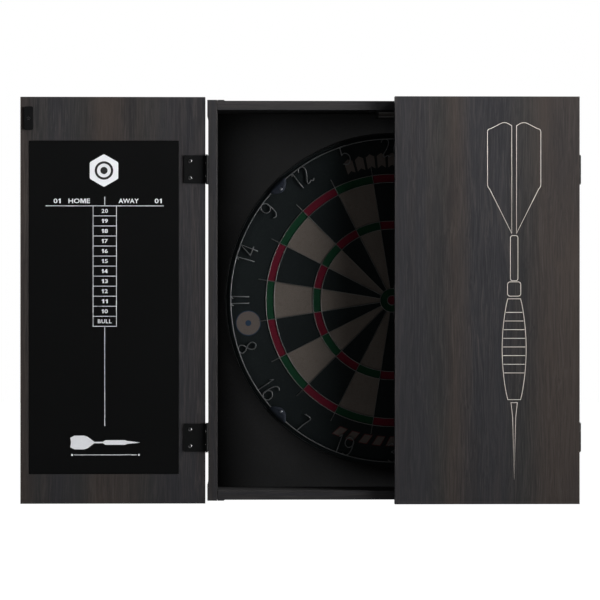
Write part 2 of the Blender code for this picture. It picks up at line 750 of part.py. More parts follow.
# ---- Dartboard, drawn about the bull's axis with its face at Y = 0 and its back towards +Y ----
def build_board_core(axis):
    """The sisal disc, bonded to its backing, with a blind hole for the hanging screw."""
    radius = BOARD_RADIUS - BAND_STOCK - GAP
    hole_end = BOARD_THICKNESS - HANGER_LENGTH - OVERCUT
    profile = [
        (0, 0),
        (radius, 0),
        (radius, BOARD_THICKNESS),
        (HANGER_HOLE, BOARD_THICKNESS),
        (HANGER_HOLE, hole_end),
        (0, hole_end),
    ]
    core = turned(profile, SECTORS * 4, "Y")
    place("board_core", as_mesh("board_core", core, "sisal", smooth=True), axis)


def build_board_band(axis):
    inner = BOARD_RADIUS - BAND_STOCK
    profile = [(inner, 0), (BOARD_RADIUS, 0), (BOARD_RADIUS, BOARD_THICKNESS), (inner, BOARD_THICKNESS)]
    band = turned(profile, SECTORS * 4, "Y", closed=True)
    place("board_band", as_mesh("board_band", band, "black_band", smooth=True), axis)


def circle_angles(radius, steps, spokes):
    """Angles of a circle's corners, from sector line to sector line, with two at each spoke's edges."""
    sector = 2 * math.pi / SECTORS
    angles = []
    half = math.asin(SPIDER_WIRE / 2 / radius)
    for index in range(SECTORS):
        line = sector * (index + 0.5)
        stops = [line - half, line + half] if spokes else [line]
        angles += stops
        room = sector - (2 * half if spokes else 0)
        angles += [stops[-1] + room * step / steps for step in range(1, steps)]
    return angles


def polar(bm, radius, angle, y):
    return bm.verts.new((radius * math.sin(angle), y, radius * math.cos(angle)))


def build_spider(axis):
    """The wires over the sisal, as one flat grid of circles and spokes raised to its height."""
    circles = [
        (OUTER_BULL_RADIUS, 1),
        (TREBLE_RADII[0], SECTOR_STEPS),
        (TREBLE_RADII[1], SECTOR_STEPS),
        (DOUBLE_RADII[0], SECTOR_STEPS),
        (DOUBLE_RADII[1], SECTOR_STEPS),
    ]
    bm = bmesh.new()
    back = -GAP
    edges = []
    for radius, steps in circles:
        pair = []
        for offset in (-SPIDER_WIRE / 2, SPIDER_WIRE / 2):
            angles = circle_angles(radius + offset, steps, True)
            pair.append([polar(bm, radius + offset, angle, back) for angle in angles])
        inside, outside = pair
        count = len(inside)
        for index in range(count):
            following = (index + 1) % count
            bm.faces.new([inside[index], inside[following], outside[following], outside[index]])
        edges.append((inside, outside, steps + 1))
    for (_, lower, low_steps), (upper, _, high_steps) in zip(edges, edges[1:]):
        for index in range(SECTORS):
            start, end = index * low_steps, index * high_steps
            bm.faces.new([lower[start], lower[start + 1], upper[end + 1], upper[end]])
    _, outermost, steps = edges[-1]
    half = math.asin(SPIDER_WIRE / 2 / SPOKE_END)
    for index in range(SECTORS):
        line = 2 * math.pi / SECTORS * (index + 0.5)
        first, second = outermost[index * steps], outermost[index * steps + 1]
        tip = [polar(bm, SPOKE_END, line + half, back), polar(bm, SPOKE_END, line - half, back)]
        bm.faces.new([first, second] + tip)
    raised = bmesh.ops.extrude_face_region(bm, geom=list(bm.faces))
    moved = [item for item in raised["geom"] if isinstance(item, bmesh.types.BMVert)]
    bmesh.ops.translate(bm, vec=(0, -SPIDER_HEIGHT, 0), verts=moved)
    place("spider", as_mesh("spider", bm, "wire"), axis)

    inner = BULL_RADIUS - SPIDER_WIRE / 2
    outer = BULL_RADIUS + SPIDER_WIRE / 2
    profile = [(inner, back), (outer, back), (outer, back - SPIDER_HEIGHT), (inner, back - SPIDER_HEIGHT)]
    place("bull_ring", as_mesh("bull_ring", turned(profile, SECTORS, "Y", closed=True), "wire", True), axis)


def numeral_strokes(digit):
    """A digit's wires as (closed, points) in a box of height 1, and its width."""
    half = 0.25
    if digit == 0:
        return [(True, arc((half, 0.5), (half, 0.5), 0, 324, 9))], 2 * half
    if digit == 1:
        return [(False, [(0, 0.78), (0.18, 1), (0.18, 0)])], 0.18
    if digit == 2:
        hook = arc((half, 0.74), (half, 0.26), 165, -35, 6)
        return [(False, hook + [(0.01, 0), (0.5, 0)])], 2 * half
    if digit == 3:
        bowl_top = arc((half, 0.755), (0.22, 0.245), 150, -75, 6)
        bowl_low = arc((half, 0.26), (half, 0.26), 78, -150, 7)
        return [(False, bowl_top + bowl_low)], 2 * half
    if digit == 4:
        return [(False, [(0.38, 0), (0.38, 1), (0, 0.3)]), (False, [(-0.01, 0.27), (0.54, 0.27)])], 0.52
    if digit == 5:
        bowl = arc((0.23, 0.31), (0.27, 0.31), 130, -145, 8)
        return [(False, [(0.46, 1), (0.09, 1), (0.05, 0.56)] + bowl)], 2 * half
    if digit in (6, 9):
        loop = arc((half, 0.3), (half, 0.3), 0, 324, 9)
        stem = arc((0.5, 0.34), (0.5, 0.66), 172, 112, 5)
        strokes = [(True, loop), (False, stem)]
        if digit == 9:
            strokes = [(closed, [(2 * half - x, 1 - z) for x, z in points]) for closed, points in strokes]
        return strokes, 2 * half
    if digit == 7:
        return [(False, [(0, 1), (0.5, 1), (0.16, 0)])], 2 * half
    upper = arc((half, 0.76), (0.21, 0.24), -90, 234, 9)
    lower = arc((half, 0.27), (half, 0.27), 90, 414, 9)
    return [(True, upper), (True, lower)], 2 * half


def number_wires(number, line):
    """The wires of one number, hung inside the ring on a sector's middle line."""
    inverted = number in READ_FROM_INSIDE
    digits = [int(character) for character in str(number)]
    widths = [numeral_strokes(digit)[1] * NUMERAL_HEIGHT for digit in digits]
    start = -(sum(widths) + NUMERAL_GAP * (len(digits) - 1)) / 2
    outward = Vector((math.sin(line), 0, math.cos(line)))
    across = Vector((math.cos(line), 0, -math.sin(line)))
    inner_end = RING_RADIUS + NUMERAL_OVERLAP - RING_WIRE - NUMERAL_HEIGHT
    wires = []
    for digit, width in zip(digits, widths):
        for closed, points in numeral_strokes(digit)[0]:
            path = []
            for x, z in points:
                aside = start + x * NUMERAL_HEIGHT
                rise = z * NUMERAL_HEIGHT
                if inverted:
                    aside, rise = -aside, NUMERAL_HEIGHT - rise
                # Following the ring's curve keeps a wide number's ends on it.
                sag = RING_RADIUS - math.sqrt(RING_RADIUS**2 - aside**2)
                point = outward * (inner_end + rise - sag) + across * aside
                path.append((point.x, -RING_DEPTH, point.z))
            wires.append(wire(path, RING_WIRE, closed))
        start += width + NUMERAL_GAP
    return wires


def build_number_ring(axis):
    """The loose wire ring with its twenty numbers, welded into one piece."""
    circle = []
    for step in range(RING_STEPS):
        turn = 2 * math.pi * step / RING_STEPS
        circle.append((RING_RADIUS * math.sin(turn), -RING_DEPTH, RING_RADIUS * math.cos(turn)))
    ring = wire(circle, RING_WIRE, closed=True)
    for index, number in enumerate(SEQUENCE):
        ring = joined(ring, *number_wires(number, 2 * math.pi * index / SECTORS))
    place("number_ring", as_mesh("number_ring", ring, "white_wire", smooth=True), axis)


def build_clips(axis):
    """Four saddles that hold the number ring to the board."""
    roof = -CLIP_HEIGHT
    under = roof + CLIP_ROOF
    outline = [
        (-GAP, CLIP_INNER),
        (roof, CLIP_INNER),
        (roof, CLIP_OUTER),
        (-GAP, CLIP_OUTER),
        (-GAP, RING_RADIUS + CLIP_GROOVE),
        (under, RING_RADIUS + CLIP_GROOVE),
        (under, RING_RADIUS - CLIP_GROOVE),
        (-GAP, RING_RADIUS - CLIP_GROOVE),
    ]
    body = prism(outline, "X", -CLIP_LENGTH / 2, CLIP_LENGTH / 2)
    clip = as_mesh("number_ring_clip", body, "clip_plastic")
    names = ("upper_right", "lower_right", "lower_left", "upper_left")
    for index, name in enumerate(names):
        turn = math.radians(45 + 90 * index)
        place(f"number_ring_clip_{name}", clip, axis, (0, 0, 0), (0, turn, 0))


# ---- Assembly ----
def build():
    for item in list(bpy.data.objects):
        bpy.data.objects.remove(item)
    meshes = {
        "case_leaf": hinge_leaf("hinge_case_leaf", middle=False),
        "door_leaf": hinge_leaf("hinge_door_leaf", middle=True),
        "pin": hinge_pin(),
        "screw": countersunk_screw(),
    }
    build_back_panel()
    build_side_panel("left_side_panel", -1)
    build_side_panel("right_side_panel", 1)
    build_cross_panel("top_panel", 1)
    build_cross_panel("bottom_panel", -1)
    build_catch()
    build_bracket()
    for side_name, side, turn in (("left", -1, -LEFT_DOOR_AT_REST), ("right", 1, 0)):
        door_axis = build_door(side_name, side, turn, meshes["screw"])
        build_hinges(side_name, side, door_axis, meshes)
    build_hanger_screw()
    board_axis = axis_empty("board_turn_axis", (0, BOARD_FACE_Y, 0))
    build_board_core(board_axis)
    build_board_band(board_axis)
    build_spider(board_axis)
    build_number_ring(board_axis)
    build_clips(board_axis)


build()
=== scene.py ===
"""The looks of a wall-hung dartboard cabinet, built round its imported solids.

Everything is in metres in the solids' own frame: +Z is up, the front faces -Y and the bull's axis is at
X = Z = 0. The solids keep their places and sizes. Here they get rounded edges and their finishes. The
board's face, its wires, the loose number ring, the ring's clips, the hinge and strike screws and the printed
graphics are made anew, finer than the solids.
"""

import json
import math

import bmesh
import bpy
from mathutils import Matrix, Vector

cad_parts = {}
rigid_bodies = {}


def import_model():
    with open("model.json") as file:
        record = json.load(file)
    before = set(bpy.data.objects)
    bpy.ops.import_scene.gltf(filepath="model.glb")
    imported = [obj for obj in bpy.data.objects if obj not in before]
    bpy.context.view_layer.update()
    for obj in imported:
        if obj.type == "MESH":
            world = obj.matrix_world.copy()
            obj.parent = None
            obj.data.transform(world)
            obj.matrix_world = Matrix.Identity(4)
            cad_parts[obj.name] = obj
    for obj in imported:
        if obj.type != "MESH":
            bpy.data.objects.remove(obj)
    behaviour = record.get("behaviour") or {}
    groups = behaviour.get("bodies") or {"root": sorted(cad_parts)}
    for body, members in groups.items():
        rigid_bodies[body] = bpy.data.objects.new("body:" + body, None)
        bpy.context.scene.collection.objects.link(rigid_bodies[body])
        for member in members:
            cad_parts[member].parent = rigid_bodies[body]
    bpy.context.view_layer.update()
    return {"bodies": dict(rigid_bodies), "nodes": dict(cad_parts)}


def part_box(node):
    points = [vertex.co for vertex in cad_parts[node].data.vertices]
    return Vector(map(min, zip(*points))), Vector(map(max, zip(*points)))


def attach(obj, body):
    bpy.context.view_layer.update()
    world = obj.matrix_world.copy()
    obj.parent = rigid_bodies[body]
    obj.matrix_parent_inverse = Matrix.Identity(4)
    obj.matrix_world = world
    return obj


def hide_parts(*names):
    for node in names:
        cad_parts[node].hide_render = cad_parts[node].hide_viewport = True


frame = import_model()
NODES = frame["nodes"]

# ---- Driving values ----
SKIN = 0.00005  # printed and inset pieces stand off the surface below them by this much
INK = 0.00012  # the thickness of a printed graphic

SECTORS = 20
SECTOR = 2 * math.pi / SECTORS
SEQUENCE = (20, 1, 18, 4, 13, 6, 10, 15, 2, 17, 3, 19, 7, 16, 8, 11, 14, 9, 12, 5)
READ_FROM_INSIDE = (10, 15, 2, 17, 3, 19, 7, 16, 8)  # these stand with their feet on the ring
BULL = 0.00635
OUTER_BULL = 0.0159
TREBLE = (0.096, 0.107)
DOUBLE = (0.159, 0.170)
SPOKE_END = 0.182
SPIDER_WIRE = 0.00055  # radius
RING_RADIUS = 0.2175
RING_WIRE = 0.0008  # radius
NUMERAL_WIRE = 0.85 * RING_WIRE
NUMERAL_HEIGHT = 0.0248
NUMERAL_GAP = 0.0058

WHITE_INK = (0.78, 0.79, 0.82)
LINE_INK = (0.60, 0.55, 0.50)

# The wood foil's tones, and the plain colours of the case's inside: a near-black lining on the sides and the
# top, and on the floor a pale tone that is painted light falling from above
SLATE = (0.0275, 0.0272, 0.0305)
GRAPHITE = (0.0290, 0.0280, 0.0275)
UMBER = (0.0440, 0.0355, 0.0315)
PALE_FIBRE = (0.0660, 0.0575, 0.0545)
LINING = (0.0060, 0.0062, 0.0066)
# painted light: the floor's upper face is paler than the foil, as if lit from above
FLOOR_PAINTED_LIGHT = (0.0580, 0.0572, 0.0580)


# ---- Materials ----
def toned(colour, share):
    return tuple(channel * share for channel in colour)


def feed(tree, socket, value):
    """Gives a socket a value, which is a number, a tuple or another node's output."""
    if isinstance(value, bpy.types.NodeSocket):
        tree.links.new(value, socket)
    else:
        socket.default_value = value


class Finish:
    """A material under construction: a Principled shader, object coordinates and the nodes that feed it."""

    def __init__(self, name, roughness, metallic=0.0):
        self.material = bpy.data.materials.new(name)
        self.material.use_nodes = True
        self.tree = self.material.node_tree
        self.shader = self.tree.nodes["Principled BSDF"]
        self.shader.inputs["Roughness"].default_value = roughness
        self.shader.inputs["Metallic"].default_value = metallic
        self.place = self.tree.nodes.new("ShaderNodeTexCoord").outputs["Object"]

    def set(self, name, value):
        """Feeds one of the shader's inputs."""
        feed(self.tree, self.shader.inputs[name], value)

    def add(self, kind, inputs, **settings):
        """Adds a node and feeds its inputs."""
        made = self.tree.nodes.new(kind)
        for key, value in settings.items():
            setattr(made, key, value)
        for key, value in inputs.items():
            feed(self.tree, made.inputs[key], value)
        return made

    def stretched(self, scale, offset=(0, 0, 0), vector=None):
        """Coordinates times a scale for each axis; they are the object's own unless others are given."""
        inputs = {"Vector": vector or self.place, "Scale": scale, "Location": offset}
        return self.add("ShaderNodeMapping", inputs).outputs[0]

    def noise(self, vector, scale=1.0, detail=3.0, roughness=0.55):
        inputs = {"Vector": vector, "Scale": scale, "Detail": detail, "Roughness": roughness}
        return self.add("ShaderNodeTexNoise", inputs).outputs["Fac"]

    def math(self, operation, a, b):
        return self.add("ShaderNodeMath", {0: a, 1: b}, operation=operation).outputs[0]

    def vector(self, operation, a, b):
        """Sum, difference or product of vectors; the dot product is a number."""
        made = self.add("ShaderNodeVectorMath", {0: a, 1: b}, operation=operation)
        return made.outputs["Value" if operation == "DOT_PRODUCT" else "Vector"]

    def scaled(self, factor, low, high, start=0.0, end=1.0):
        """Maps a factor's stretch from low to high onto the values start to end."""
        inputs = {"Value": factor, "From Min": low, "From Max": high, "To Min": start, "To Max": end}
        return self.add("ShaderNodeMapRange", inputs).outputs[0]

    def ramp(self, factor, stops):
        """A colour ramp through (place, colour) stops."""
        made = self.add("ShaderNodeValToRGB", {"Fac": factor})
        elements = made.color_ramp.elements
        while len(elements) < len(stops):
            elements.new(1.0)
        for element, (place, colour) in zip(elements, stops):
            element.position = place
            element.color = (*colour, 1.0)
        return made.outputs["Color"]

    def mix(self, factor, a, b, blend="MIX"):
        """Mixes two colours. The Mix node's sockets share their names, so they are taken by number."""
        made = self.add("ShaderNodeMix", {0: factor}, data_type="RGBA", blend_type=blend)
        for socket, colour in ((made.inputs[6], a), (made.inputs[7], b)):
            feed(self.tree, socket, (*colour, 1.0) if isinstance(colour, tuple) else colour)
        return made.outputs[2]

    def bump(self, height, depth, strength):
        inputs = {"Height": height, "Distance": depth, "Strength": strength}
        self.set("Normal", self.add("ShaderNodeBump", inputs).outputs["Normal"])


# The foil's figure across a board, as (share of the width, tone)
LEFT_FIGURE = (
    (0.00, UMBER), (0.08, GRAPHITE), (0.20, SLATE), (0.34, GRAPHITE), (0.42, UMBER),
    (0.52, UMBER), (0.66, GRAPHITE), (0.82, SLATE), (1.00, SLATE),
)
RIGHT_FIGURE = (
    (0.00, SLATE), (0.15, SLATE), (0.24, GRAPHITE), (0.32, UMBER), (0.42, SLATE),
    (0.58, SLATE), (0.70, GRAPHITE), (0.82, UMBER), (1.00, UMBER),
)
CASE_FIGURE = ((0.0, SLATE), (0.3, GRAPHITE), (0.6, SLATE), (1.0, GRAPHITE))

# The layers of the grain, as repeats per metre (across it, along it)
SWAY_GRAIN = (9, 1.6)
PATCH_GRAIN = (24, 4.5)
LIVELY_GRAIN = (18, 2.0)
WARM_GRAIN = (60, 1.5)
STREAK_GRAIN = (560, 13.0)
PORE_GRAIN = (1500, 22)
SWAY = 0.012  # how far the figure wanders
FACING = 0.9  # a face looks along a direction where their dot product is above this


def wood(node, along, figure, offset=(0, 0, 0), inside_facing=None, lining_or_painted_light_tone=LINING):
    """Wood-effect foil for a board whose grain runs along one axis.

    Faces that look along the given inside direction, if it is given, have a plain tone instead: the inside
    of the case. On the sides and the top it is a near-black lining; on the floor it is a pale tone, painted
    light from above.
    """
    across = "X" if along == "Z" else "Z"
    low, high = (corner["XYZ".index(across)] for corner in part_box(node))
    made = Finish(f"foil_{node}", 0.5)

    def grain(repeats, vector=None):
        scale = [repeats[0]] * 3
        scale["XYZ".index(along)] = repeats[1]
        return made.stretched(scale, offset, vector)

    sway = made.add("ShaderNodeTexNoise", {"Vector": grain(SWAY_GRAIN), "Detail": 2.0}).outputs["Color"]
    sway = made.vector("MULTIPLY", made.vector("SUBTRACT", sway, (0.5, 0.5, 0.5)), (SWAY, SWAY, SWAY))
    bent = made.vector("ADD", made.place, sway)

    place = made.add("ShaderNodeSeparateXYZ", {"Vector": bent}).outputs[across]
    tone = made.ramp(made.scaled(place, low, high), figure)
    patches = made.noise(grain(PATCH_GRAIN, bent), detail=4, roughness=0.6)
    tone = made.mix(made.scaled(patches, 0.46, 0.66, 0, 0.50), tone, toned(SLATE, 0.70))
    warm = made.noise(grain(WARM_GRAIN, bent), detail=2)
    tone = made.mix(made.scaled(warm, 0.50, 0.72, 0, 0.30), tone, toned(UMBER, 1.05))
    streaks = made.noise(grain(STREAK_GRAIN, bent), detail=3, roughness=0.7)
    lively = made.scaled(made.noise(grain(LIVELY_GRAIN), detail=2), 0.36, 0.62, 0.35, 1.0)
    light = made.math("MULTIPLY", made.scaled(streaks, 0.50, 0.68, 0, 0.52), lively)
    tone = made.mix(light, tone, PALE_FIBRE)
    dark = made.math("MULTIPLY", made.scaled(streaks, 0.50, 0.34, 0, 0.50), lively)
    tone = made.mix(dark, tone, toned(SLATE, 0.50))
    pores = made.noise(grain(PORE_GRAIN, bent), detail=2, roughness=0.6)
    tone = made.mix(made.scaled(pores, 0.55, 0.75, 0, 0.45), tone, toned(GRAPHITE, 0.45))
    # plain inside faces; on the floor this pale tone is painted light from above
    if inside_facing:
        normal = made.add("ShaderNodeNewGeometry", {}).outputs["True Normal"]
        inside = made.math("GREATER_THAN", made.vector("DOT_PRODUCT", normal, inside_facing), FACING)
        tone = made.mix(inside, tone, lining_or_painted_light_tone)
    made.set("Base Color", tone)
    made.set("Roughness", made.scaled(pores, 0.3, 0.7, 0.46, 0.60))
    made.set("Specular IOR Level", 0.12)
    made.bump(made.math("ADD", pores, made.math("MULTIPLY", streaks, 0.6)), 0.00012, 0.5)
    return made.material


def speckled(
    name, colour, roughness, metallic=0.0, scale=900.0, contrast=0.18, depth=0.00004, mottle=0.08, gloss=0.5,
    painted_shade=None,
):
    """A plain finish with a fine, even grain and a slow mottle: plastic, paint or board.

    The last argument, if it is given, is (direction, share): faces that look along the direction keep that
    share of their colour, as a painted shade.
    """
    made = Finish(name, roughness, metallic)
    made.set("Specular IOR Level", gloss)
    fine = made.noise(made.place, scale, detail=3)
    slow = made.noise(made.place, 14.0, detail=3)
    tone = made.mix(made.scaled(fine, 0.3, 0.7), toned(colour, 1 - contrast), toned(colour, 1 + contrast))
    tone = made.mix(made.scaled(slow, 0.3, 0.7, 0.0, mottle), tone, (0.0, 0.0, 0.0))
    # painted shade: faces that look along the given direction are darkened
    if painted_shade:
        direction, share = painted_shade
        normal = made.add("ShaderNodeNewGeometry", {}).outputs["Normal"]
        painted_shade_mask = made.scaled(made.vector("DOT_PRODUCT", normal, direction), 0.05, 0.55)
        tone = made.mix(painted_shade_mask, tone, (share, share, share), "MULTIPLY")
    made.set("Base Color", tone)
    made.set("Roughness", made.scaled(fine, 0.3, 0.7, roughness - 0.06, roughness + 0.06))
    made.bump(fine, depth, 0.6)
    return made.material


def sisal(name, colour, fleck):
    """Sanded sisal: fibre ends seen end-on, with open pores and a fine fleck."""
    made = Finish(name, 0.92)
    fibres = made.noise(made.place, 1700.0, detail=3, roughness=0.65)
    clumps = made.noise(made.place, 210.0, detail=3)
    slow = made.noise(made.place, 26.0, detail=3)
    tone = made.mix(made.scaled(fibres, 0.30, 0.70), toned(colour, 0.72), toned(colour, 1.18))
    tone = made.mix(made.scaled(clumps, 0.55, 0.80, 0, 0.6), tone, fleck)
    tone = made.mix(made.scaled(slow, 0.45, 0.75, 0, 0.22), tone, toned(colour, 0.55))
    made.set("Base Color", tone)
    made.set("Specular IOR Level", 0.06)
    made.bump(made.math("ADD", fibres, made.math("MULTIPLY", clumps, 0.8)), 0.00025, 0.7)
    return made.material


def brushed(name, colour, roughness):
    """Bright metal with fine scratches along X."""
    made = Finish(name, roughness, 1.0)
    lines = made.noise(made.stretched((60.0, 2400.0, 2400.0)), detail=2)
    slow = made.noise(made.place, 180.0, detail=2)
    tone = made.mix(made.scaled(lines, 0.3, 0.7), toned(colour, 0.85), colour)
    made.set("Base Color", made.mix(made.scaled(slow, 0.4, 0.8, 0, 0.3), tone, toned(colour, 0.6)))
    made.set("Roughness", made.scaled(lines, 0.3, 0.7, roughness - 0.08, roughness + 0.10))
    made.bump(lines, 0.00002, 0.5)
    return made.material


# ---- Mesh helpers ----
WELD_DISTANCE = 0.00001
FLAT_ANGLE = math.radians(1)  # faces that meet at less than this become one
EDGE_ANGLE = math.radians(40)  # edges sharper than this are rounded
CURVE_STEPS = 6  # straight parts between two points of a smooth path


def as_mesh(name, bm):
    mesh = bpy.data.meshes.new(name)
    bm.to_mesh(mesh)
    bm.free()
    return mesh


def add_object(name, data):
    made = bpy.data.objects.new(name, data)
    bpy.context.scene.collection.objects.link(made)
    return made


def piece(name, bm, materials, body, replaced=(), smooth_angle=None):
    """Makes a finished piece that rides on a body and stands for the CAD nodes it replaces."""
    bmesh.ops.recalc_face_normals(bm, faces=bm.faces)
    mesh = as_mesh(name, bm)
    for material in materials:
        mesh.materials.append(material)
    if smooth_angle is not None:
        mesh.shade_smooth()
        mesh.set_sharp_from_angle(angle=math.radians(smooth_angle))
    made = add_object(name, mesh)
    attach(made, body)
    if replaced:
        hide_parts(*replaced)


def modify(item, name, kind, **settings):
    made = item.modifiers.new(name, kind)
    for key, value in settings.items():
        setattr(made, key, value)


def dress(node, material, edge=0.0, segments=2):
    """Gives a CAD node its finish and, if edge isn't 0, edges rounded to that width."""
    item = NODES[node]
    item.data.materials.clear()
    item.data.materials.append(material)
    if edge:
        modify(item, "weld", "WELD", merge_threshold=WELD_DISTANCE)
        modify(item, "flat", "DECIMATE", decimate_type="DISSOLVE", angle_limit=FLAT_ANGLE)
        rounding = {"width": edge, "segments": segments, "limit_method": "ANGLE", "angle_limit": EDGE_ANGLE}
        modify(item, "rounded", "BEVEL", **rounding)
        modify(item, "even", "WEIGHTED_NORMAL", keep_sharp=False)


def span(points):
    """The lowest and highest corners of the box round some points."""
    low = Vector([min(point[axis] for point in points) for axis in range(3)])
    high = Vector([max(point[axis] for point in points) for axis in range(3)])
    return low, high


def smooth_path(points, closed):
    """A Catmull-Rom curve through (x, z) points."""
    count = len(points)
    path = []
    for index in range(count if closed else count - 1):
        if closed:
            four = [points[(index + k) % count] for k in (-1, 0, 1, 2)]
        else:
            four = [points[max(0, min(count - 1, index + k))] for k in (-1, 0, 1, 2)]
        a, b, c, d = (Vector(p) for p in four)
        for step in range(CURVE_STEPS):
            t = step / CURVE_STEPS
            point = 2 * b + (c - a) * t + (2 * a - 5 * b + 4 * c - d) * t**2 + (3 * b - a - 3 * c + d) * t**3
            path.append(tuple(point / 2))
    if not closed:
        path.append(tuple(points[-1]))
    return path


def arc(centre, radius, start, end, steps):
    """(x, z) points on an arc, with angles in degrees anticlockwise from +X."""
    turns = [math.radians(start + (end - start) * step / steps) for step in range(steps + 1)]
    return [(centre[0] + radius * math.cos(t), centre[1] + radius * math.sin(t)) for t in turns]


def circle(centre, radius, steps):
    return arc(centre, radius, 0, 360 * (steps - 1) / steps, steps - 1)


def rectangle(low_x, high_x, low_z, high_z):
    return [(low_x, low_z), (high_x, low_z), (high_x, high_z), (low_x, high_z)]


def rounded_box(z, half_width, half_height, corner):
    """A rectangle with round corners, its middle at X = 0 and height z."""
    points = []
    for dx, dz, start in ((1, 1, 0), (-1, 1, 90), (-1, -1, 180), (1, -1, 270)):
        centre = (dx * (half_width - corner), z + dz * (half_height - corner))
        points += arc(centre, corner, start, start + 90, 5)
    return points


def polar_point(radius, angle):
    """(x, z) at an angle clockwise from the top."""
    return radius * math.sin(angle), radius * math.cos(angle)


def polar_circle(radius, steps):
    return [polar_point(radius, 2 * math.pi * step / steps) for step in range(steps)]


def join(bm, first, second, closed=True):
    """Adds the faces between two matching rows of corners."""
    faces = []
    for index in range(len(first) if closed else len(first) - 1):
        following = (index + 1) % len(first)
        faces.append(bm.faces.new([first[index], first[following], second[following], second[index]]))
    return faces


def skin(bm, rows):
    """Adds a closed skin over rows of corners, with a face at each end."""
    for first, second in zip(rows, rows[1:]):
        join(bm, first, second)
    bm.faces.new(rows[0])
    bm.faces.new(rows[-1])


def headings(points, closed):
    """Each point of a path, the direction it is reached in and the mean direction through it."""
    count = len(points)
    for index, point in enumerate(points):
        before = points[index - 1] if closed or index > 0 else None
        after = points[(index + 1) % count] if closed or index < count - 1 else None
        arriving = (point - before).normalized() if before is not None else (after - point).normalized()
        leaving = (after - point).normalized() if after is not None else arriving
        yield point, arriving, (arriving + leaving).normalized()


def tube(bm, path, radius, y, closed=False, sides=8):
    """Adds a round wire along (x, z) points at depth y, with domed ends."""
    points = [Vector((x, y, z)) for x, z in path]
    rings = []
    for point, arriving, along in headings(points, closed):
        sideways = Vector((along.z, 0, -along.x)) / max(along.dot(arriving), 0.5)
        ring = []
        for side in range(sides):
            turn = 2 * math.pi * side / sides
            offset = sideways * math.sin(turn) + Vector((0, -math.cos(turn), 0))
            ring.append(bm.verts.new(point + offset * radius))
        rings.append(ring)
    following_rings = rings[1:] + rings[:1] if closed else rings[1:]
    faces = []
    for first, second in zip(rings, following_rings):
        faces += join(bm, first, second)
    if not closed:
        for ring, inner, outer in ((rings[0], points[1], points[0]), (rings[-1], points[-2], points[-1])):
            tip = bm.verts.new(outer + (outer - inner).normalized() * radius * 0.7)
            faces += [bm.faces.new([ring[side], ring[(side + 1) % sides], tip]) for side in range(sides)]
    return faces


def slab(bm, outline, front, back):
    """Adds a flat plate between two depths from an outline of (x, z) points."""
    near = [bm.verts.new((x, front, z)) for x, z in outline]
    far = [bm.verts.new((x, back, z)) for x, z in outline]
    bm.faces.new(near)
    bm.faces.new(far[::-1])
    join(bm, near, far)


def band(bm, outer, inner, front, back, closed=True):
    """Adds a plate between two matching rows of (x, z) points."""
    rows = []
    for row, y in ((outer, front), (inner, front), (inner, back), (outer, back)):
        rows.append([bm.verts.new((x, y, z)) for x, z in row])
    for first, second in zip(rows, rows[1:] + rows[:1]):
        join(bm, first, second, closed)
    if not closed:
        for index in (0, len(outer) - 1):
            bm.faces.new([row[index] for row in rows])


def stroke(bm, path, width, front, back, closed):
    """Adds a ribbon of even width along (x, z) points, with mitred corners."""
    left, right = [], []
    for point, arriving, along in headings([Vector(p) for p in path], closed):
        aside = Vector((-along.y, along.x)) * (width / 2 / max(along.dot(arriving), 0.4))
        left.append(tuple(point + aside))
        right.append(tuple(point - aside))
    band(bm, left, right, front, back, closed)


def print_depths(surface):
    """The front and back of a print on a surface that faces the front."""
    back = surface - SKIN
    return back - INK, back


# ---- Lettering ----
LETTER_WEIGHT = 0.018  # thickens the built-in font's strokes
OWN_GLYPHS = {  # the built-in font's own outlines of these break when they are thickened
    "1": [[(0.0, 0.62), (0.0, 0.76), (0.20, 1.0), (0.38, 1.0), (0.38, 0.0), (0.16, 0.0), (0.16, 0.69)]],
    "4": [
        [(0.0, 0.38), (0.37, 1.0), (0.37, 0.72), (0.17, 0.38)],
        [
            (0.0, 0.20), (0.0, 0.38), (0.37, 0.38), (0.37, 1.0), (0.57, 1.0), (0.57, 0.38),
            (0.69, 0.38), (0.69, 0.20), (0.57, 0.20), (0.57, 0.0), (0.37, 0.0), (0.37, 0.20),
        ],
    ],
    "M": [[
        (0.0, 0.0), (0.0, 1.0), (0.28, 1.0), (0.50, 0.34), (0.72, 1.0), (1.0, 1.0), (1.0, 0.0),
        (0.80, 0.0), (0.80, 0.74), (0.58, 0.0), (0.42, 0.0), (0.20, 0.74), (0.20, 0.0),
    ]],
}


def glyph(character):
    """One plain raised character, 1 high, standing on the origin in the XZ plane, and its width."""
    if character in OWN_GLYPHS:
        bm = bmesh.new()
        for outline in OWN_GLYPHS[character]:
            slab(bm, outline, -0.5, 0.5)
        bmesh.ops.recalc_face_normals(bm, faces=bm.faces)
        return bm, max(vert.co.x for vert in bm.verts)
    bm = font_glyph(character)
    low, high = span([vert.co for vert in bm.verts])
    scale = 1 / (high.y - low.y)
    for vert in bm.verts:
        x, y, z = vert.co - low
        vert.co = (x * scale, 0.5 - z / (high.z - low.z), y * scale)
    bmesh.ops.recalc_face_normals(bm, faces=bm.faces)
    return bm, (high.x - low.x) * scale


def font_glyph(character):
    """One character of the built-in font as a mesh, in the XY plane."""
    curve = bpy.data.curves.new("lettering", "FONT")
    curve.body = character
    curve.offset = LETTER_WEIGHT
    curve.extrude = 0.5
    holder = add_object("lettering", curve)
    made = bpy.data.meshes.new_from_object(holder.evaluated_get(bpy.context.evaluated_depsgraph_get()))
    bpy.data.objects.remove(holder)
    bpy.data.curves.remove(curve)
    bm = bmesh.new()
    bm.from_mesh(made)
    bpy.data.meshes.remove(made)
    return bm


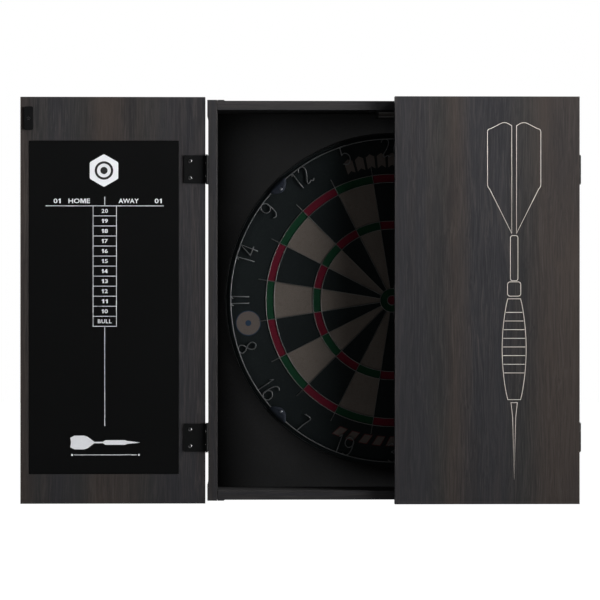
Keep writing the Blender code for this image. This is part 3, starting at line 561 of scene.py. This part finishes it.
def lettering(bm, words, centre, size, front, back, spacing=0.16):
    """Adds plain raised lettering with its middle at centre; size is its width and its capitals' height."""
    glyphs = [glyph(character) for character in words]
    natural = sum(width for _, width in glyphs) + spacing * (len(glyphs) - 1)
    stretch = size[0] / natural
    x = centre[0] - size[0] / 2
    for shape, width in glyphs:
        for vert in shape.verts:
            place = Vector((vert.co.x * stretch, vert.co.y * (back - front), vert.co.z * size[1]))
            vert.co = place + Vector((x, (front + back) / 2, centre[1] - size[1] / 2))
        mesh = as_mesh("glyph", shape)
        bm.from_mesh(mesh)
        bpy.data.meshes.remove(mesh)
        x += stretch * (width + spacing)


# ---- Case, doors and fittings ----
SCREW_STEPS = 32
SCREW_ARMS = 4
# Each ring of a screw's head is (radius between the recess's arms, radius along them, rise), in head radii
SCREW_HEAD = (
    (0.16, 0.44, -0.24), (0.20, 0.50, 0.20), (0.60, 0.60, 0.195), (0.80, 0.80, 0.15), (0.93, 0.93, 0.07),
    (0.985, 0.985, 0.0), (0.97, 0.97, -0.06), (0.48, 0.48, -0.50),
)
SCREW_TIP = 0.42  # radius, in head radii
SCREW_DEPTH = 0.9  # share of the solid screw's length


def dress_woodwork():
    dress("left_door_panel", wood("left_door_panel", "Z", LEFT_FIGURE), 0.0005, 3)
    dress("right_door_panel", wood("right_door_panel", "Z", RIGHT_FIGURE, (0.7, 0, 0)), 0.0005, 3)
    for node, along, offset, inside, tone in (
        ("left_side_panel", "Z", (1.3, 0, 0), (1, 0, 0), LINING),
        ("right_side_panel", "Z", (2.3, 0, 0), (-1, 0, 0), LINING),
        ("top_panel", "X", (0, 0, 2.1), (0, 0, -1), LINING),
        # the floor's upper face: a pale tone that is painted light from above
        ("bottom_panel", "X", (0, 0, 3.1), (0, 0, 1), FLOOR_PAINTED_LIGHT),
    ):
        dress(node, wood(node, along, CASE_FIGURE, offset, inside, tone), 0.0004)
    colour = (0.0118, 0.0121, 0.0125)
    black_board = speckled("black_board", colour, 0.8, scale=500, contrast=0.3, mottle=0.25, gloss=0.2)
    dress("back_panel", black_board, 0.0003)


def is_door_fitting(node):
    return "_hinge_" in node or "_strike_" in node


def dress_fittings():
    # the black fittings get a painted shade on faces that look towards +X, where the right-hand key light
    # falls
    powder = speckled(
        "black_powder_coat", (0.0046, 0.0049, 0.0051), 0.55, scale=1900, contrast=0.35, depth=0.00006,
        gloss=0.08, painted_shade=((1, 0, 0), 0.28),
    )
    plastic = speckled(
        "black_moulded_plastic", (0.0045, 0.0045, 0.0048), 0.45, scale=1500, contrast=0.25, gloss=0.15
    )
    magnet = speckled("ferrite_magnet", (0.060, 0.052, 0.046), 0.7, scale=1200, contrast=0.4)
    bright = brushed("bright_steel", (0.56, 0.55, 0.53), 0.34)
    # the catch poles' steel is dull and is also darkened as a painted shade cast by the closed door
    dull_and_shaded_steel = brushed("dull_steel_painted_shade", (0.16, 0.155, 0.15), 0.5)
    blackened = brushed("blackened_steel", (0.20, 0.20, 0.205), 0.24)
    for node in NODES:
        if is_door_fitting(node) and "screw" not in node:
            dress(node, powder, 0.00015 if node.endswith(("leaf", "plate")) else 0.0)
    for body in ("cabinet", "left_door", "right_door"):
        build_screws(body, blackened)
    for node in ("catch_pole_upper", "catch_pole_lower"):
        dress(node, dull_and_shaded_steel, 0.0002)
    dress("board_bracket", bright, 0.0002)
    for node in ("bracket_screw_left", "bracket_screw_right", "hanger_screw"):
        dress(node, bright)
    for node in ("catch_screw_left", "catch_screw_right"):
        dress(node, powder)
    dress("catch_magnet", magnet, 0.0001)
    dress("catch_housing", plastic, 0.0004)
    dress("dart_rack", plastic, 0.0005, 3)


def build_screws(body, material):
    """A body's countersunk hinge screws, with raised heads, and its strike screw, whose head is flush."""
    bm = bmesh.new()
    nodes = []
    for node in sorted(NODES):
        if "screw" in node and is_door_fitting(node) and NODES[node].parent == frame["bodies"][body]:
            nodes.append(node)
            build_screw(bm, NODES[node], crown=0 if "_strike_" in node else 1)
    piece(f"{body}_screws", bm, [material], body, nodes, smooth_angle=35)


def build_screw(bm, item, crown):
    """Adds a screw with a cross recess that takes its axis, its head's end and its size from a solid.

    crown 1 raises the head's middle, and 0 leaves it flush.
    """
    points = [vert.co for vert in item.data.vertices]
    low, high = span(points)
    middle = (low + high) / 2
    long_axis = max(range(3), key=lambda axis: high[axis] - low[axis])
    a, b = (axis for axis in range(3) if axis != long_axis)
    radius = (high[a] - low[a]) / 2
    widest = max(points, key=lambda p: (p[a] - middle[a]) ** 2 + (p[b] - middle[b]) ** 2)
    outwards = 1 if widest[long_axis] > middle[long_axis] else -1
    top = (high if outwards > 0 else low)[long_axis]
    rings = [(reach, arm, radius * rise * (crown if rise > 0 else 1)) for reach, arm, rise in SCREW_HEAD]
    rings.append((SCREW_TIP, SCREW_TIP, -SCREW_DEPTH * (high[long_axis] - low[long_axis])))
    rows = []
    for reach, arm, rise in rings:
        row = []
        for step in range(SCREW_STEPS):
            turn = 2 * math.pi * step / SCREW_STEPS
            quarter = SCREW_STEPS // SCREW_ARMS
            share = radius * (arm if step % quarter in (0, 1, quarter - 1) else reach)
            place = Vector((0, 0, 0))
            place[a] = middle[a] + share * math.cos(turn)
            place[b] = middle[b] + share * math.sin(turn)
            place[long_axis] = top + outwards * rise
            row.append(bm.verts.new(place))
        rows.append(row)
    skin(bm, rows)


# ---- Score panel ----
LAYOUT_ASIDE = 0.0012  # the layout's middle is this far to the right of the panel's
RULE = 0.0007  # the width of a printed line
HEADER_DROP = 0.0868  # from the panel's top to the line under the words
HEADER_REACH = 0.0785  # half that line's length
TICK = 0.0122  # the short upright in its middle
HEADER_LIFT = 0.0066  # from the line to the middle of the words
HEADER_LETTER = 0.0061
HEADER_WORDS = (  # words, the place of their middle, their width and the gap between letters
    ("01", -0.0633, 0.0094, 0.16), ("HOME", -0.0340, 0.0286, 0.14),
    ("AWAY", 0.0318, 0.0268, -0.04), ("01", 0.0712, 0.0094, 0.16),
)
ROWS = [str(number) for number in range(20, 9, -1)] + ["BULL"]
ROW = 0.01337
ROW_REACH = 0.01555  # half the column's width
ROW_LETTER = 0.0051
NUMBER_WIDTH = 0.0082
WORD_WIDTH = 0.0185
STEM = 0.1330  # the line below the column
BADGE_PLACE = (-0.0010, -0.0397)  # from the top of the layout's middle
BADGE_RADIUS = 0.0219
ORNAMENT_PLACE = (0.0010, -0.4060)
ORNAMENT_LENGTH = 0.092


def dress_score_panel():
    """The score panel's black surface and its white print."""
    colour = (0.0040, 0.0042, 0.0043)
    surface = speckled("score_surface", colour, 0.5, scale=1300, contrast=0.12, mottle=0.10, gloss=0.05)
    dress("score_panel", surface, 0.0003)
    ink = speckled("white_print", WHITE_INK, 0.55, scale=2500, contrast=0.05, depth=0.00001, mottle=0.03)
    black = speckled("black_print", (0.010, 0.010, 0.010), 0.5, scale=2500, contrast=0.1, depth=0.00001)
    low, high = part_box("score_panel")
    middle = (low.x + high.x) / 2 + LAYOUT_ASIDE
    header = high.z - HEADER_DROP
    depths = print_depths(low.y)
    bm = bmesh.new()
    build_score_header(bm, middle, header, depths)
    build_score_column(bm, middle, header, depths)
    piece("score_layout", bm, [ink], "left_door")
    badge, ornament = ((middle + x, high.z + z) for x, z in (BADGE_PLACE, ORNAMENT_PLACE))
    build_roundel(badge, BADGE_RADIUS, depths, ink, black)
    build_dart_ornament(ornament, ORNAMENT_LENGTH, depths, ink)


def build_score_header(bm, middle, level, depths):
    """The line across the panel's top, its tick and the words over it."""
    half = RULE / 2
    slab(bm, rectangle(middle - HEADER_REACH, middle + HEADER_REACH, level - half, level + half), *depths)
    slab(bm, rectangle(middle - half, middle + half, level + RULE, level + TICK), *depths)
    for words, aside, width, spacing in HEADER_WORDS:
        centre = (middle + aside, level + HEADER_LIFT)
        lettering(bm, words, centre, (width, HEADER_LETTER), *depths, spacing)


def build_score_column(bm, middle, top, depths):
    """The boxes with the numbers to hit, and the line below them."""
    half = RULE / 2
    foot = top - ROW * len(ROWS)
    for edge in (middle - ROW_REACH, middle + ROW_REACH):
        slab(bm, rectangle(edge - half, edge + half, foot - half, top - half - SKIN), *depths)
    inside = ROW_REACH - half - SKIN
    for index, words in enumerate(ROWS):
        level = top - ROW * (index + 1)
        slab(bm, rectangle(middle - inside, middle + inside, level - half, level + half), *depths)
        size = (NUMBER_WIDTH if words.isdigit() else WORD_WIDTH, ROW_LETTER)
        lettering(bm, words, (middle, level + ROW / 2), size, *depths)
    slab(bm, rectangle(middle - half, middle + half, foot - STEM, foot - RULE), *depths)


def build_roundel(centre, radius, depths, ink, black):
    """A white six-sided badge with rounded corners and a plain target on it."""
    corner = radius * 0.14
    inset = radius - corner / math.cos(math.radians(30))
    outline = []
    for turn in range(90, 450, 60):
        at = arc(centre, inset, turn, turn, 1)[0]
        outline += arc(at, corner, turn - 30, turn + 30, 6)
    bm = bmesh.new()
    slab(bm, outline, *depths)
    piece("score_roundel", bm, [ink], "left_door")
    front = depths[0]
    over = (front - INK, front - SKIN / 2)
    bm = bmesh.new()
    band(bm, circle(centre, radius * 0.56, 60), circle(centre, radius * 0.42, 60), *over)
    slab(bm, circle(centre, radius * 0.22, 32), *over)
    piece("score_roundel_target", bm, [black], "left_door")


def dart_half(length, width):
    """The upper half of a dart's outline as (x, z) points, from its flight at x = 0 to its point."""
    shaft = width * 0.05
    barrel = width * 0.17
    return [
        (0.0, shaft),
        (-length * 0.01, width * 0.34),
        (length * 0.05, width * 0.50),
        (length * 0.19, width * 0.50),
        (length * 0.24, width * 0.42),
        (length * 0.34, shaft),
        (length * 0.46, shaft),
        (length * 0.50, barrel),
        (length * 0.78, barrel),
        (length * 0.82, barrel * 0.60),
        (length, 0.0),
    ]


def build_dart_ornament(centre, length, depths, ink):
    """A small solid dart over a thin line with a dot at each end."""
    left = centre[0] - length / 2
    level = centre[1] + 0.004
    upper = dart_half(length, length * 0.20)
    lower = [(x, -z) for x, z in reversed(upper[:-1])]
    bm = bmesh.new()
    slab(bm, [(left + x, level + z) for x, z in upper + lower], *depths)
    under = centre[1] - 0.0125
    slab(bm, rectangle(left + 0.004, left + length - 0.004, under - 0.0004, under + 0.0004), *depths)
    for end in (left + 0.0015, left + length - 0.0015):
        slab(bm, circle((end, under), 0.0014, 20), *depths)
    piece("score_ornament", bm, [ink], "left_door")


# ---- The right door's line drawing: a dart, in (x, z) from its middle line and the bull's height ----
DRAWING_LINE = 0.00078
DRAWING_MIDDLE = 0.645  # share of the door's width
BARREL_TOP = 0.0020
BARREL_FOOT = -0.1320
BARREL_END = 0.0085  # half its width at its ends
BARREL_SWELL = 0.0075  # what its middle adds to that
BARREL_STEPS = 20
GROOVES = tuple(-0.016 - 0.0115 * step for step in range(8))


def build_door_drawing():
    """A tall outlined dart, point down, in thin pale lines on the closed door's outer face."""
    low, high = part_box("right_door_panel")
    ink = speckled("pale_line_print", LINE_INK, 0.5, scale=2500, contrast=0.06, depth=0.00001, mottle=0.04)
    depths = print_depths(low.y)
    middle = low.x + (high.x - low.x) * DRAWING_MIDDLE
    bm = bmesh.new()

    def draw(points, closed=True):
        stroke(bm, [(middle + x, z) for x, z in points], DRAWING_LINE, *depths, closed)

    for side in (-1, 1):
        draw([(side * x, z) for x, z in flight_outline()])
    draw(rounded_box(0.0560, 0.0050, 0.0300, 0.0030))
    draw(rounded_box(0.0150, 0.0088, 0.0095, 0.0035))
    draw(barrel_outline())
    for level in GROOVES:
        half = barrel_half_width(level) - DRAWING_LINE * 1.4
        draw([(-half, level), (half, level)], closed=False)
    draw([(-0.0042, -0.1360), (0.0042, -0.1360), (0.0020, -0.1560), (0.0, -0.2380), (-0.0020, -0.1560)])
    piece("door_drawing", bm, [ink], "right_door")


def flight_outline():
    """The right-hand wing of the flight: straight sides with rounded upper corners and a rounded elbow."""
    inner_edge = [(0.0032, 0.0890), (0.0032, 0.2320)]
    top = arc((0.0130, 0.2260), 0.0102, 120, 60, 4) + [(0.0310, 0.2282)]
    corner = arc((0.0315, 0.2240), 0.0040, 70, 0, 4)
    elbow = arc((0.0275, 0.1540), 0.0080, 0, -50, 5)
    return inner_edge + top + corner + elbow


def barrel_half_width(z):
    """The barrel swells to its middle."""
    share = (z - BARREL_TOP) / (BARREL_FOOT - BARREL_TOP)
    return BARREL_END + BARREL_SWELL * math.sin(math.pi * min(max(share, 0.0), 1.0)) ** 0.8


def barrel_outline():
    drop = BARREL_FOOT - BARREL_TOP
    levels = [BARREL_TOP + drop * step / BARREL_STEPS for step in range(BARREL_STEPS + 1)]
    right = [(barrel_half_width(z), z) for z in levels]
    return right + [(-x, z) for x, z in reversed(right)]


# ---- Board ----
BOARD_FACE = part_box("board_core")[0].y
BOARD_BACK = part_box("board_core")[1].y
BOARD_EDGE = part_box("board_core")[1].x
EDGE_ROUNDING = 0.0008
HANGER_HOLE = 0.0034  # radius
HANGER_HOLE_FLOOR = BOARD_FACE + 0.017
SECTOR_STEPS = 12  # the disc's faces across each sector

# A digit of bent wire in a box 1 high: its width and its strokes. A stroke is (whether it closes, the
# corners it starts with, the points that it then goes through smoothly). A 9 is a 6 turned round.
DIGITS = {
    0: (0.50, [(True, [], [(0.25, 0), (0.48, 0.25), (0.48, 0.75), (0.25, 1), (0.02, 0.75), (0.02, 0.25)])]),
    1: (0.16, [(False, [(-0.02, 0.86), (0.10, 1.0), (0.10, 0.0)], [])]),
    2: (0.52, [(False, [], [
        (0.02, 0.82), (0.10, 0.96), (0.26, 1.0), (0.41, 0.90), (0.42, 0.70), (0.30, 0.44), (0.13, 0.18),
        (0.10, 0.04), (0.22, 0.03), (0.34, 0.10), (0.46, 0.02), (0.58, 0.10),
    ])]),
    3: (0.50, [(False, [], [
        (0.03, 0.88), (0.22, 1.0), (0.42, 0.86), (0.40, 0.64), (0.22, 0.54), (0.44, 0.42),
        (0.48, 0.20), (0.28, 0.0), (0.02, 0.10),
    ])]),
    4: (0.52, [(False, [(0.38, 0), (0.40, 1), (0.0, 0.30), (0.54, 0.28)], [])]),
    5: (0.50, [(False, [(0.46, 1), (0.10, 0.98)], [
        (0.06, 0.56), (0.26, 0.62), (0.46, 0.46), (0.46, 0.18), (0.26, 0.0), (0.0, 0.08),
    ])]),
    6: (0.50, [
        (True, [], [(0.25, 0), (0.47, 0.14), (0.47, 0.42), (0.25, 0.56), (0.04, 0.42), (0.03, 0.16)]),
        (False, [], [(0.03, 0.22), (0.02, 0.54), (0.10, 0.86), (0.28, 1.0), (0.45, 0.93)]),
    ]),
    7: (0.48, [(False, [(0.0, 0.96)], [(0.10, 1), (0.42, 0.98), (0.46, 0.86), (0.30, 0.45), (0.20, 0.0)])]),
    8: (0.50, [(True, [], [
        (0.25, 0.0), (0.46, 0.13), (0.42, 0.33), (0.26, 0.47), (0.09, 0.64), (0.05, 0.86), (0.25, 1.0),
        (0.45, 0.86), (0.41, 0.64), (0.24, 0.47), (0.08, 0.33), (0.04, 0.13),
    ])]),
}

CLIP_ANGLES = {"upper_right": 45, "lower_right": 135, "lower_left": 225, "upper_left": 315}
CLIP_HEIGHT = 0.0043
CLIP_LIFT = 0.0003  # the clip's foot stands this far off the face
CLIP_REACH = 0.0142  # half the clip's length along the ring
CLIP_OUTER = 0.2204  # radius of its outer edge
CLIP_DEPTH = 0.0130  # from its outer edge to its inner edge, at its middle
CLIP_END_DEPTH = 0.0036
CLIP_STEPS = 16
CLIP_PROFILE = (  # (share of the depth, share of the height)
    (0.0, 0.0), (0.0, 0.55), (0.14, 0.90), (0.30, 1.0), (0.70, 1.0), (0.86, 0.90), (1.0, 0.55), (1.0, 0.0),
)
CLIP_PIN_PLACE = 0.2115  # from the bull's centre
CLIP_PIN_RADIUS = 0.0019
CLIP_PIN_HEIGHT = 0.0008
DOME_STEPS = 24
DOME_SINK = 0.0006  # how far a dome's foot goes below the surface it stands on

MOTIFS = range(-4, 5)  # nine motifs in a row, counted from its middle


def build_board():
    build_board_face()
    build_spider()
    build_number_ring()
    build_clips()
    build_board_prints()
    colour = (0.0050, 0.0054, 0.0056)
    band_steel = speckled("black_band_steel", colour, 0.55, scale=1200, contrast=0.2, gloss=0.1)
    dress("board_band", band_steel, 0.0004)


def build_board_face():
    """The sisal disc: a polar grid whose faces carry the sectors' colours, with the hanger's hole behind."""
    finishes = [
        sisal("sisal_black", (0.0072, 0.0095, 0.0100), (0.0125, 0.016, 0.016)),
        sisal("sisal_cream", (0.092, 0.079, 0.069), (0.066, 0.053, 0.044)),
        sisal("sisal_red", (0.074, 0.0055, 0.0130), (0.045, 0.004, 0.008)),
        sisal("sisal_green", (0.0045, 0.0270, 0.0125), (0.004, 0.019, 0.009)),
        speckled("fibre_backing", (0.012, 0.011, 0.010), 0.85, scale=700, contrast=0.3),
    ]
    black, cream, red, green, backing = range(5)
    radii = [BULL, OUTER_BULL, *TREBLE, *DOUBLE, 0.185, 0.205, BOARD_EDGE - EDGE_ROUNDING]
    # A zone between two radii has one finish in the 20's and every second sector, and one in the others
    single, scoring, plain = (black, cream), (red, green), (black, black)
    zones = [(green, green), single, scoring, single, scoring, plain, plain, plain]
    count = SECTORS * SECTOR_STEPS
    bm = bmesh.new()

    def ring(radius, y):
        points = [polar_point(radius, SECTOR * (index / SECTOR_STEPS - 0.5)) for index in range(count)]
        return [bm.verts.new((x, y, z)) for x, z in points]

    centre = bm.verts.new((0, BOARD_FACE, 0))
    rings = [ring(radius, BOARD_FACE) for radius in radii]
    for index in range(count):
        face = bm.faces.new([centre, rings[0][index], rings[0][(index + 1) % count]])
        face.material_index = red
    for zone, inner, outer in zip(zones, rings, rings[1:]):
        for index, face in enumerate(join(bm, outer, inner)):
            face.material_index = zone[index // SECTOR_STEPS % 2]
    rim = [
        ring(BOARD_EDGE - EDGE_ROUNDING * 0.3, BOARD_FACE + EDGE_ROUNDING * 0.3),
        ring(BOARD_EDGE, BOARD_FACE + EDGE_ROUNDING),
    ]
    hole = [ring(HANGER_HOLE, BOARD_BACK), ring(HANGER_HOLE, HANGER_HOLE_FLOOR)]
    back = [ring(BOARD_EDGE, BOARD_BACK)] + hole
    for inner, outer in zip([rings[-1]] + rim + back[:-1], rim + back):
        for face in join(bm, outer, inner):
            face.material_index = backing if outer in hole else black
    bm.faces.new(back[-1]).material_index = backing
    piece("sisal_disc", bm, finishes, "board", ["board_core"], smooth_angle=30)


def build_spider():
    """Round wires, part sunk into the sisal: five circles, twenty spokes and the bull's own ring."""
    steel = brushed("spider_wire", (0.125, 0.125, 0.12), 0.5)
    dark = brushed("spoke_wire", (0.105, 0.107, 0.104), 0.5)
    y = BOARD_FACE - SPIDER_WIRE * 0.6
    bm = bmesh.new()
    tube(bm, polar_circle(OUTER_BULL, 48), SPIDER_WIRE, y, closed=True)
    for radius in (*TREBLE, *DOUBLE):
        tube(bm, polar_circle(radius, 160), SPIDER_WIRE, y, closed=True)
    for index in range(SECTORS):
        angle = SECTOR * (index + 0.5)
        ends = [polar_point(OUTER_BULL, angle), polar_point(SPOKE_END, angle)]
        for face in tube(bm, ends, SPIDER_WIRE, y):
            face.material_index = 1
    piece("spider_wires", bm, [steel, dark], "board", ["spider"], smooth_angle=50)
    bm = bmesh.new()
    tube(bm, polar_circle(BULL, 40), SPIDER_WIRE, y, closed=True)
    piece("bull_wire", bm, [steel], "board", ["bull_ring"], smooth_angle=50)


def digit_paths(digit):
    """A bent-wire digit as (closed, points) in a box of height 1, and its width."""
    if digit == 9:
        paths, width = digit_paths(6)
        return [(closed, [(width - x, 1 - z) for x, z in points]) for closed, points in paths], width
    width, strokes = DIGITS[digit]
    paths = []
    for closed, corners, curve in strokes:
        paths.append((closed, corners + (smooth_path(curve, closed) if curve else [])))
    return paths, width


def build_number_ring():
    """The loose wire ring with its twenty bent-wire numbers."""
    enamel = speckled("ring_wire_enamel", (0.070, 0.073, 0.075), 0.45, 0.3, scale=1500, contrast=0.15)
    low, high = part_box("number_ring")
    y = (low.y + high.y) / 2
    bm = bmesh.new()
    tube(bm, polar_circle(RING_RADIUS, 240), RING_WIRE, y, closed=True, sides=10)
    for index, number in enumerate(SEQUENCE):
        build_number(bm, number, SECTOR * index, y)
    piece("number_wires", bm, [enamel], "board", ["number_ring"], smooth_angle=60)


def build_number(bm, number, angle, y):
    """Adds a number inside the ring, bent round it, at an angle clockwise from the top."""
    digits = [digit_paths(int(character)) for character in str(number)]
    widths = [width * NUMERAL_HEIGHT for _, width in digits]
    start = -(sum(widths) + NUMERAL_GAP * (len(widths) - 1)) / 2
    for (paths, _), width in zip(digits, widths):
        for closed, points in paths:
            path = []
            for x, z in points:
                aside = start + x * NUMERAL_HEIGHT
                rise = z * NUMERAL_HEIGHT
                if number in READ_FROM_INSIDE:
                    aside, rise = -aside, NUMERAL_HEIGHT - rise
                path.append(polar_point(RING_RADIUS - NUMERAL_HEIGHT + rise, angle + aside / RING_RADIUS))
            tube(bm, path, NUMERAL_WIRE, y, closed)
        start += width + NUMERAL_GAP


def build_clips():
    """Crescent saddles over the number ring, each with a bright pin."""
    plastic = speckled("clip_plastic", (0.0095, 0.0120, 0.0175), 0.6, scale=800, contrast=0.25, gloss=0.08)
    steel = brushed("clip_pin_steel", (0.20, 0.21, 0.23), 0.4)
    for corner, degrees in CLIP_ANGLES.items():
        angle = math.radians(degrees)
        bm = bmesh.new()
        build_clip(bm, angle)
        piece(f"clip_{corner}", bm, [plastic], "board", [f"number_ring_clip_{corner}"], smooth_angle=50)
        bm = bmesh.new()
        x, z = polar_point(CLIP_PIN_PLACE, angle)
        dome(bm, (x, BOARD_FACE - CLIP_HEIGHT, z), CLIP_PIN_RADIUS, CLIP_PIN_HEIGHT)
        piece(f"clip_pin_{corner}", bm, [steel], "board", smooth_angle=50)


def build_clip(bm, middle):
    """Adds a crescent, deepest and highest at its middle, at an angle clockwise from the top."""
    rows = []
    for step in range(CLIP_STEPS + 1):
        share = 2 * step / CLIP_STEPS - 1
        bulge = 1 - share**2
        depth = CLIP_END_DEPTH + (CLIP_DEPTH - CLIP_END_DEPTH) * bulge
        height = CLIP_HEIGHT * (0.62 + 0.38 * min(1.0, bulge * 2.5))
        angle = middle + share * CLIP_REACH / RING_RADIUS
        row = []
        for across, rise in CLIP_PROFILE:
            x, z = polar_point(CLIP_OUTER - depth * across, angle)
            row.append(bm.verts.new((x, BOARD_FACE - CLIP_LIFT - (height - CLIP_LIFT) * rise, z)))
        rows.append(row)
    skin(bm, rows)


def dome(bm, centre, radius, height):
    """Adds a low domed head that faces the front."""
    base = Vector(centre)
    rings = []
    for share in (1.0, 0.85, 0.5):
        rise = height * math.sqrt(1 - share**2)
        points = polar_circle(radius * share, DOME_STEPS)
        rings.append([bm.verts.new(base + Vector((x, -rise, z))) for x, z in points])
    rings.insert(0, [bm.verts.new(vert.co + Vector((0, DOME_SINK, 0))) for vert in rings[0]])
    skin(bm, rings)


def bent(outline, radius, angle):
    """Bends (along, rise) points round the board at an angle clockwise from the top."""
    return [polar_point(radius + rise, angle + along / radius) for along, rise in outline]


def build_board_prints():
    """Plain motifs on the black outer ring: chevrons above, slashes below and a roundel at the side."""
    cream = speckled("cream_print", (0.072, 0.060, 0.054), 0.8, scale=1800, contrast=0.2, gloss=0.1)
    red = speckled("red_print", (0.060, 0.010, 0.012), 0.8, scale=1800, contrast=0.2, gloss=0.1)
    blue = speckled("blue_print", (0.012, 0.026, 0.048), 0.8, scale=1800, contrast=0.2, gloss=0.1)
    build_chevrons(cream)
    build_slashes("edge", red, 0.0009, 0)
    build_slashes("face", cream, 0.0, 1)
    build_side_disc("edge", blue, 0.0168, 0)
    build_side_disc("face", cream, 0.0158, 1)
    build_side_disc("mark", blue, 0.0040, 2)


def build_chevrons(material):
    wide, tall, tip = 0.0056, 0.0100, 0.0036
    outline = [(-wide, -tall), (0, tip - tall), (wide, -tall)]
    outline += [(wide, tall - tip), (0, tall), (-wide, tall - tip)]
    bm = bmesh.new()
    for step in MOTIFS:
        slab(bm, bent(outline, 0.1890, math.radians(4.4 * step)), *print_depths(BOARD_FACE))
    piece("board_print_top", bm, [material], "board")


def build_slashes(name, material, grow, layer):
    """A row of leaning bars, grown by a margin, on a layer of ink that counts from the sisal up."""
    wide, tall, lean = 0.0050 + grow, 0.0058 + grow, 0.0030
    outline = [(-wide - lean, -tall), (wide - lean, -tall), (wide + lean, tall), (-wide + lean, tall)]
    bm = bmesh.new()
    for step in MOTIFS:
        angle = math.pi + math.radians(5.4 * step)
        slab(bm, bent(outline, 0.1900, angle), *print_depths(BOARD_FACE - layer * INK))
    piece(f"board_print_bottom_{name}", bm, [material], "board")


def build_side_disc(name, material, radius, layer):
    centre = polar_point(0.1960, SECTOR * 14.5)
    bm = bmesh.new()
    slab(bm, circle(centre, radius, 60), *print_depths(BOARD_FACE - layer * INK))
    piece(f"board_print_side_{name}", bm, [material], "board")


# ---- Floor, light and camera ----
FLOOR_Z = -0.75
FLOOR_SIZE = 30.0
SKY_DIFFUSE = 0.04  # how strongly the white surroundings light the object
SKY_GLOSS = 0.05  # and how bright they are in its reflections
CAMERA_PLACE = (-0.1923, -3.429, 0.0004)
CAMERA_TURN = 0.0202  # to the right of straight ahead, in radians
CAMERA_LENS = 150.7  # mm
CAMERA_SENSOR = 36.0  # mm


def by_ray(tree, kind, value, otherwise):
    """A number for one kind of ray; for all others it is otherwise, a number or another node's output."""
    path = tree.nodes.new("ShaderNodeLightPath")
    choice = tree.nodes.new("ShaderNodeMix")
    for index, fed in ((0, path.outputs[kind]), (2, otherwise), (3, value)):
        feed(tree, choice.inputs[index], fed)
    return choice.outputs[0]


def build_floor():
    """A pale floor that fades into the white surroundings."""
    bm = bmesh.new()
    bmesh.ops.create_grid(bm, x_segments=1, y_segments=1, size=FLOOR_SIZE / 2)
    floor = add_object("floor", as_mesh("floor", bm))
    floor.location = (0, 0, FLOOR_Z)
    pale = speckled("pale_floor", (0.80, 0.80, 0.80), 0.8, scale=40, contrast=0.01, depth=0.0, mottle=0.01)
    shader = pale.node_tree.nodes["Principled BSDF"]
    shader.inputs["Emission Color"].default_value = (1, 1, 1, 1)
    glow = by_ray(pale.node_tree, "Is Camera Ray", 1.0, 0.0)
    pale.node_tree.links.new(glow, shader.inputs["Emission Strength"])
    floor.data.materials.append(pale)


def area_light(name, place, aim, size, power, spread=180, only=(), never=()):
    """A soft round light. It lights only some solids, or leaves some of them out, where those are given."""
    light = bpy.data.lights.new(name, "AREA")
    light.shape = "DISK"
    light.spread = math.radians(spread)
    light.size = size
    light.energy = power
    item = add_object(name, light)
    item.location = place
    item.rotation_euler = (Vector(aim) - Vector(place)).to_track_quat("-Z", "Y").to_euler()
    if only or never:
        linked = bpy.data.collections.new(f"linked_to_{name}")
        for node in only or never:
            linked.objects.link(NODES[node])
        for entry in linked.collection_objects:
            entry.light_linking.link_state = "INCLUDE" if only else "EXCLUDE"
        item.light_linking.receiver_collection = linked


def build_light():
    """White surroundings and five soft lights; the key light misses the back panel, which has its own."""
    world = bpy.data.worlds.new("studio")
    bpy.context.scene.world = world
    world.use_nodes = True
    tree = world.node_tree
    background = tree.nodes["Background"]
    background.inputs["Color"].default_value = (1, 1, 1, 1)
    unseen = by_ray(tree, "Is Glossy Ray", SKY_GLOSS, SKY_DIFFUSE)
    tree.links.new(by_ray(tree, "Is Camera Ray", 1.0, unseen), background.inputs["Strength"])
    area_light(
        "key", place=(3.2, -1.30, 0.75), aim=(-1.3, -0.1, 2.05), size=2.6, power=172.0, spread=72,
        never=["back_panel"],
    )
    area_light("top", place=(1.4, -0.60, 1.6), aim=(-0.3, -0.1, 0.3), size=0.8, power=11.0, spread=110)
    area_light("fill", place=(-2.0, -1.6, 0.8), aim=(-0.2, -0.1, 0.0), size=1.2, power=0.8)
    area_light("rear", place=(-1.2, 2.0, 1.4), aim=(0.0, 0.0, 0.0), size=1.5, power=60.0)
    area_light(
        "inner", place=(-1.0, -1.5, 0.9), aim=(-0.2, 0.0, 0.15), size=2.0, power=39.0, only=["back_panel"]
    )


def build_camera():
    camera = bpy.data.cameras.new("camera")
    camera.lens = CAMERA_LENS
    camera.sensor_width = CAMERA_SENSOR
    item = add_object("camera", camera)
    item.location = CAMERA_PLACE
    item.rotation_euler = (math.pi / 2, 0, -CAMERA_TURN)
    bpy.context.scene.camera = item
    bpy.context.scene.view_settings.view_transform = "Standard"


dress_woodwork()
dress_fittings()
dress_score_panel()
build_door_drawing()
build_board()
build_floor()
build_light()
build_camera()
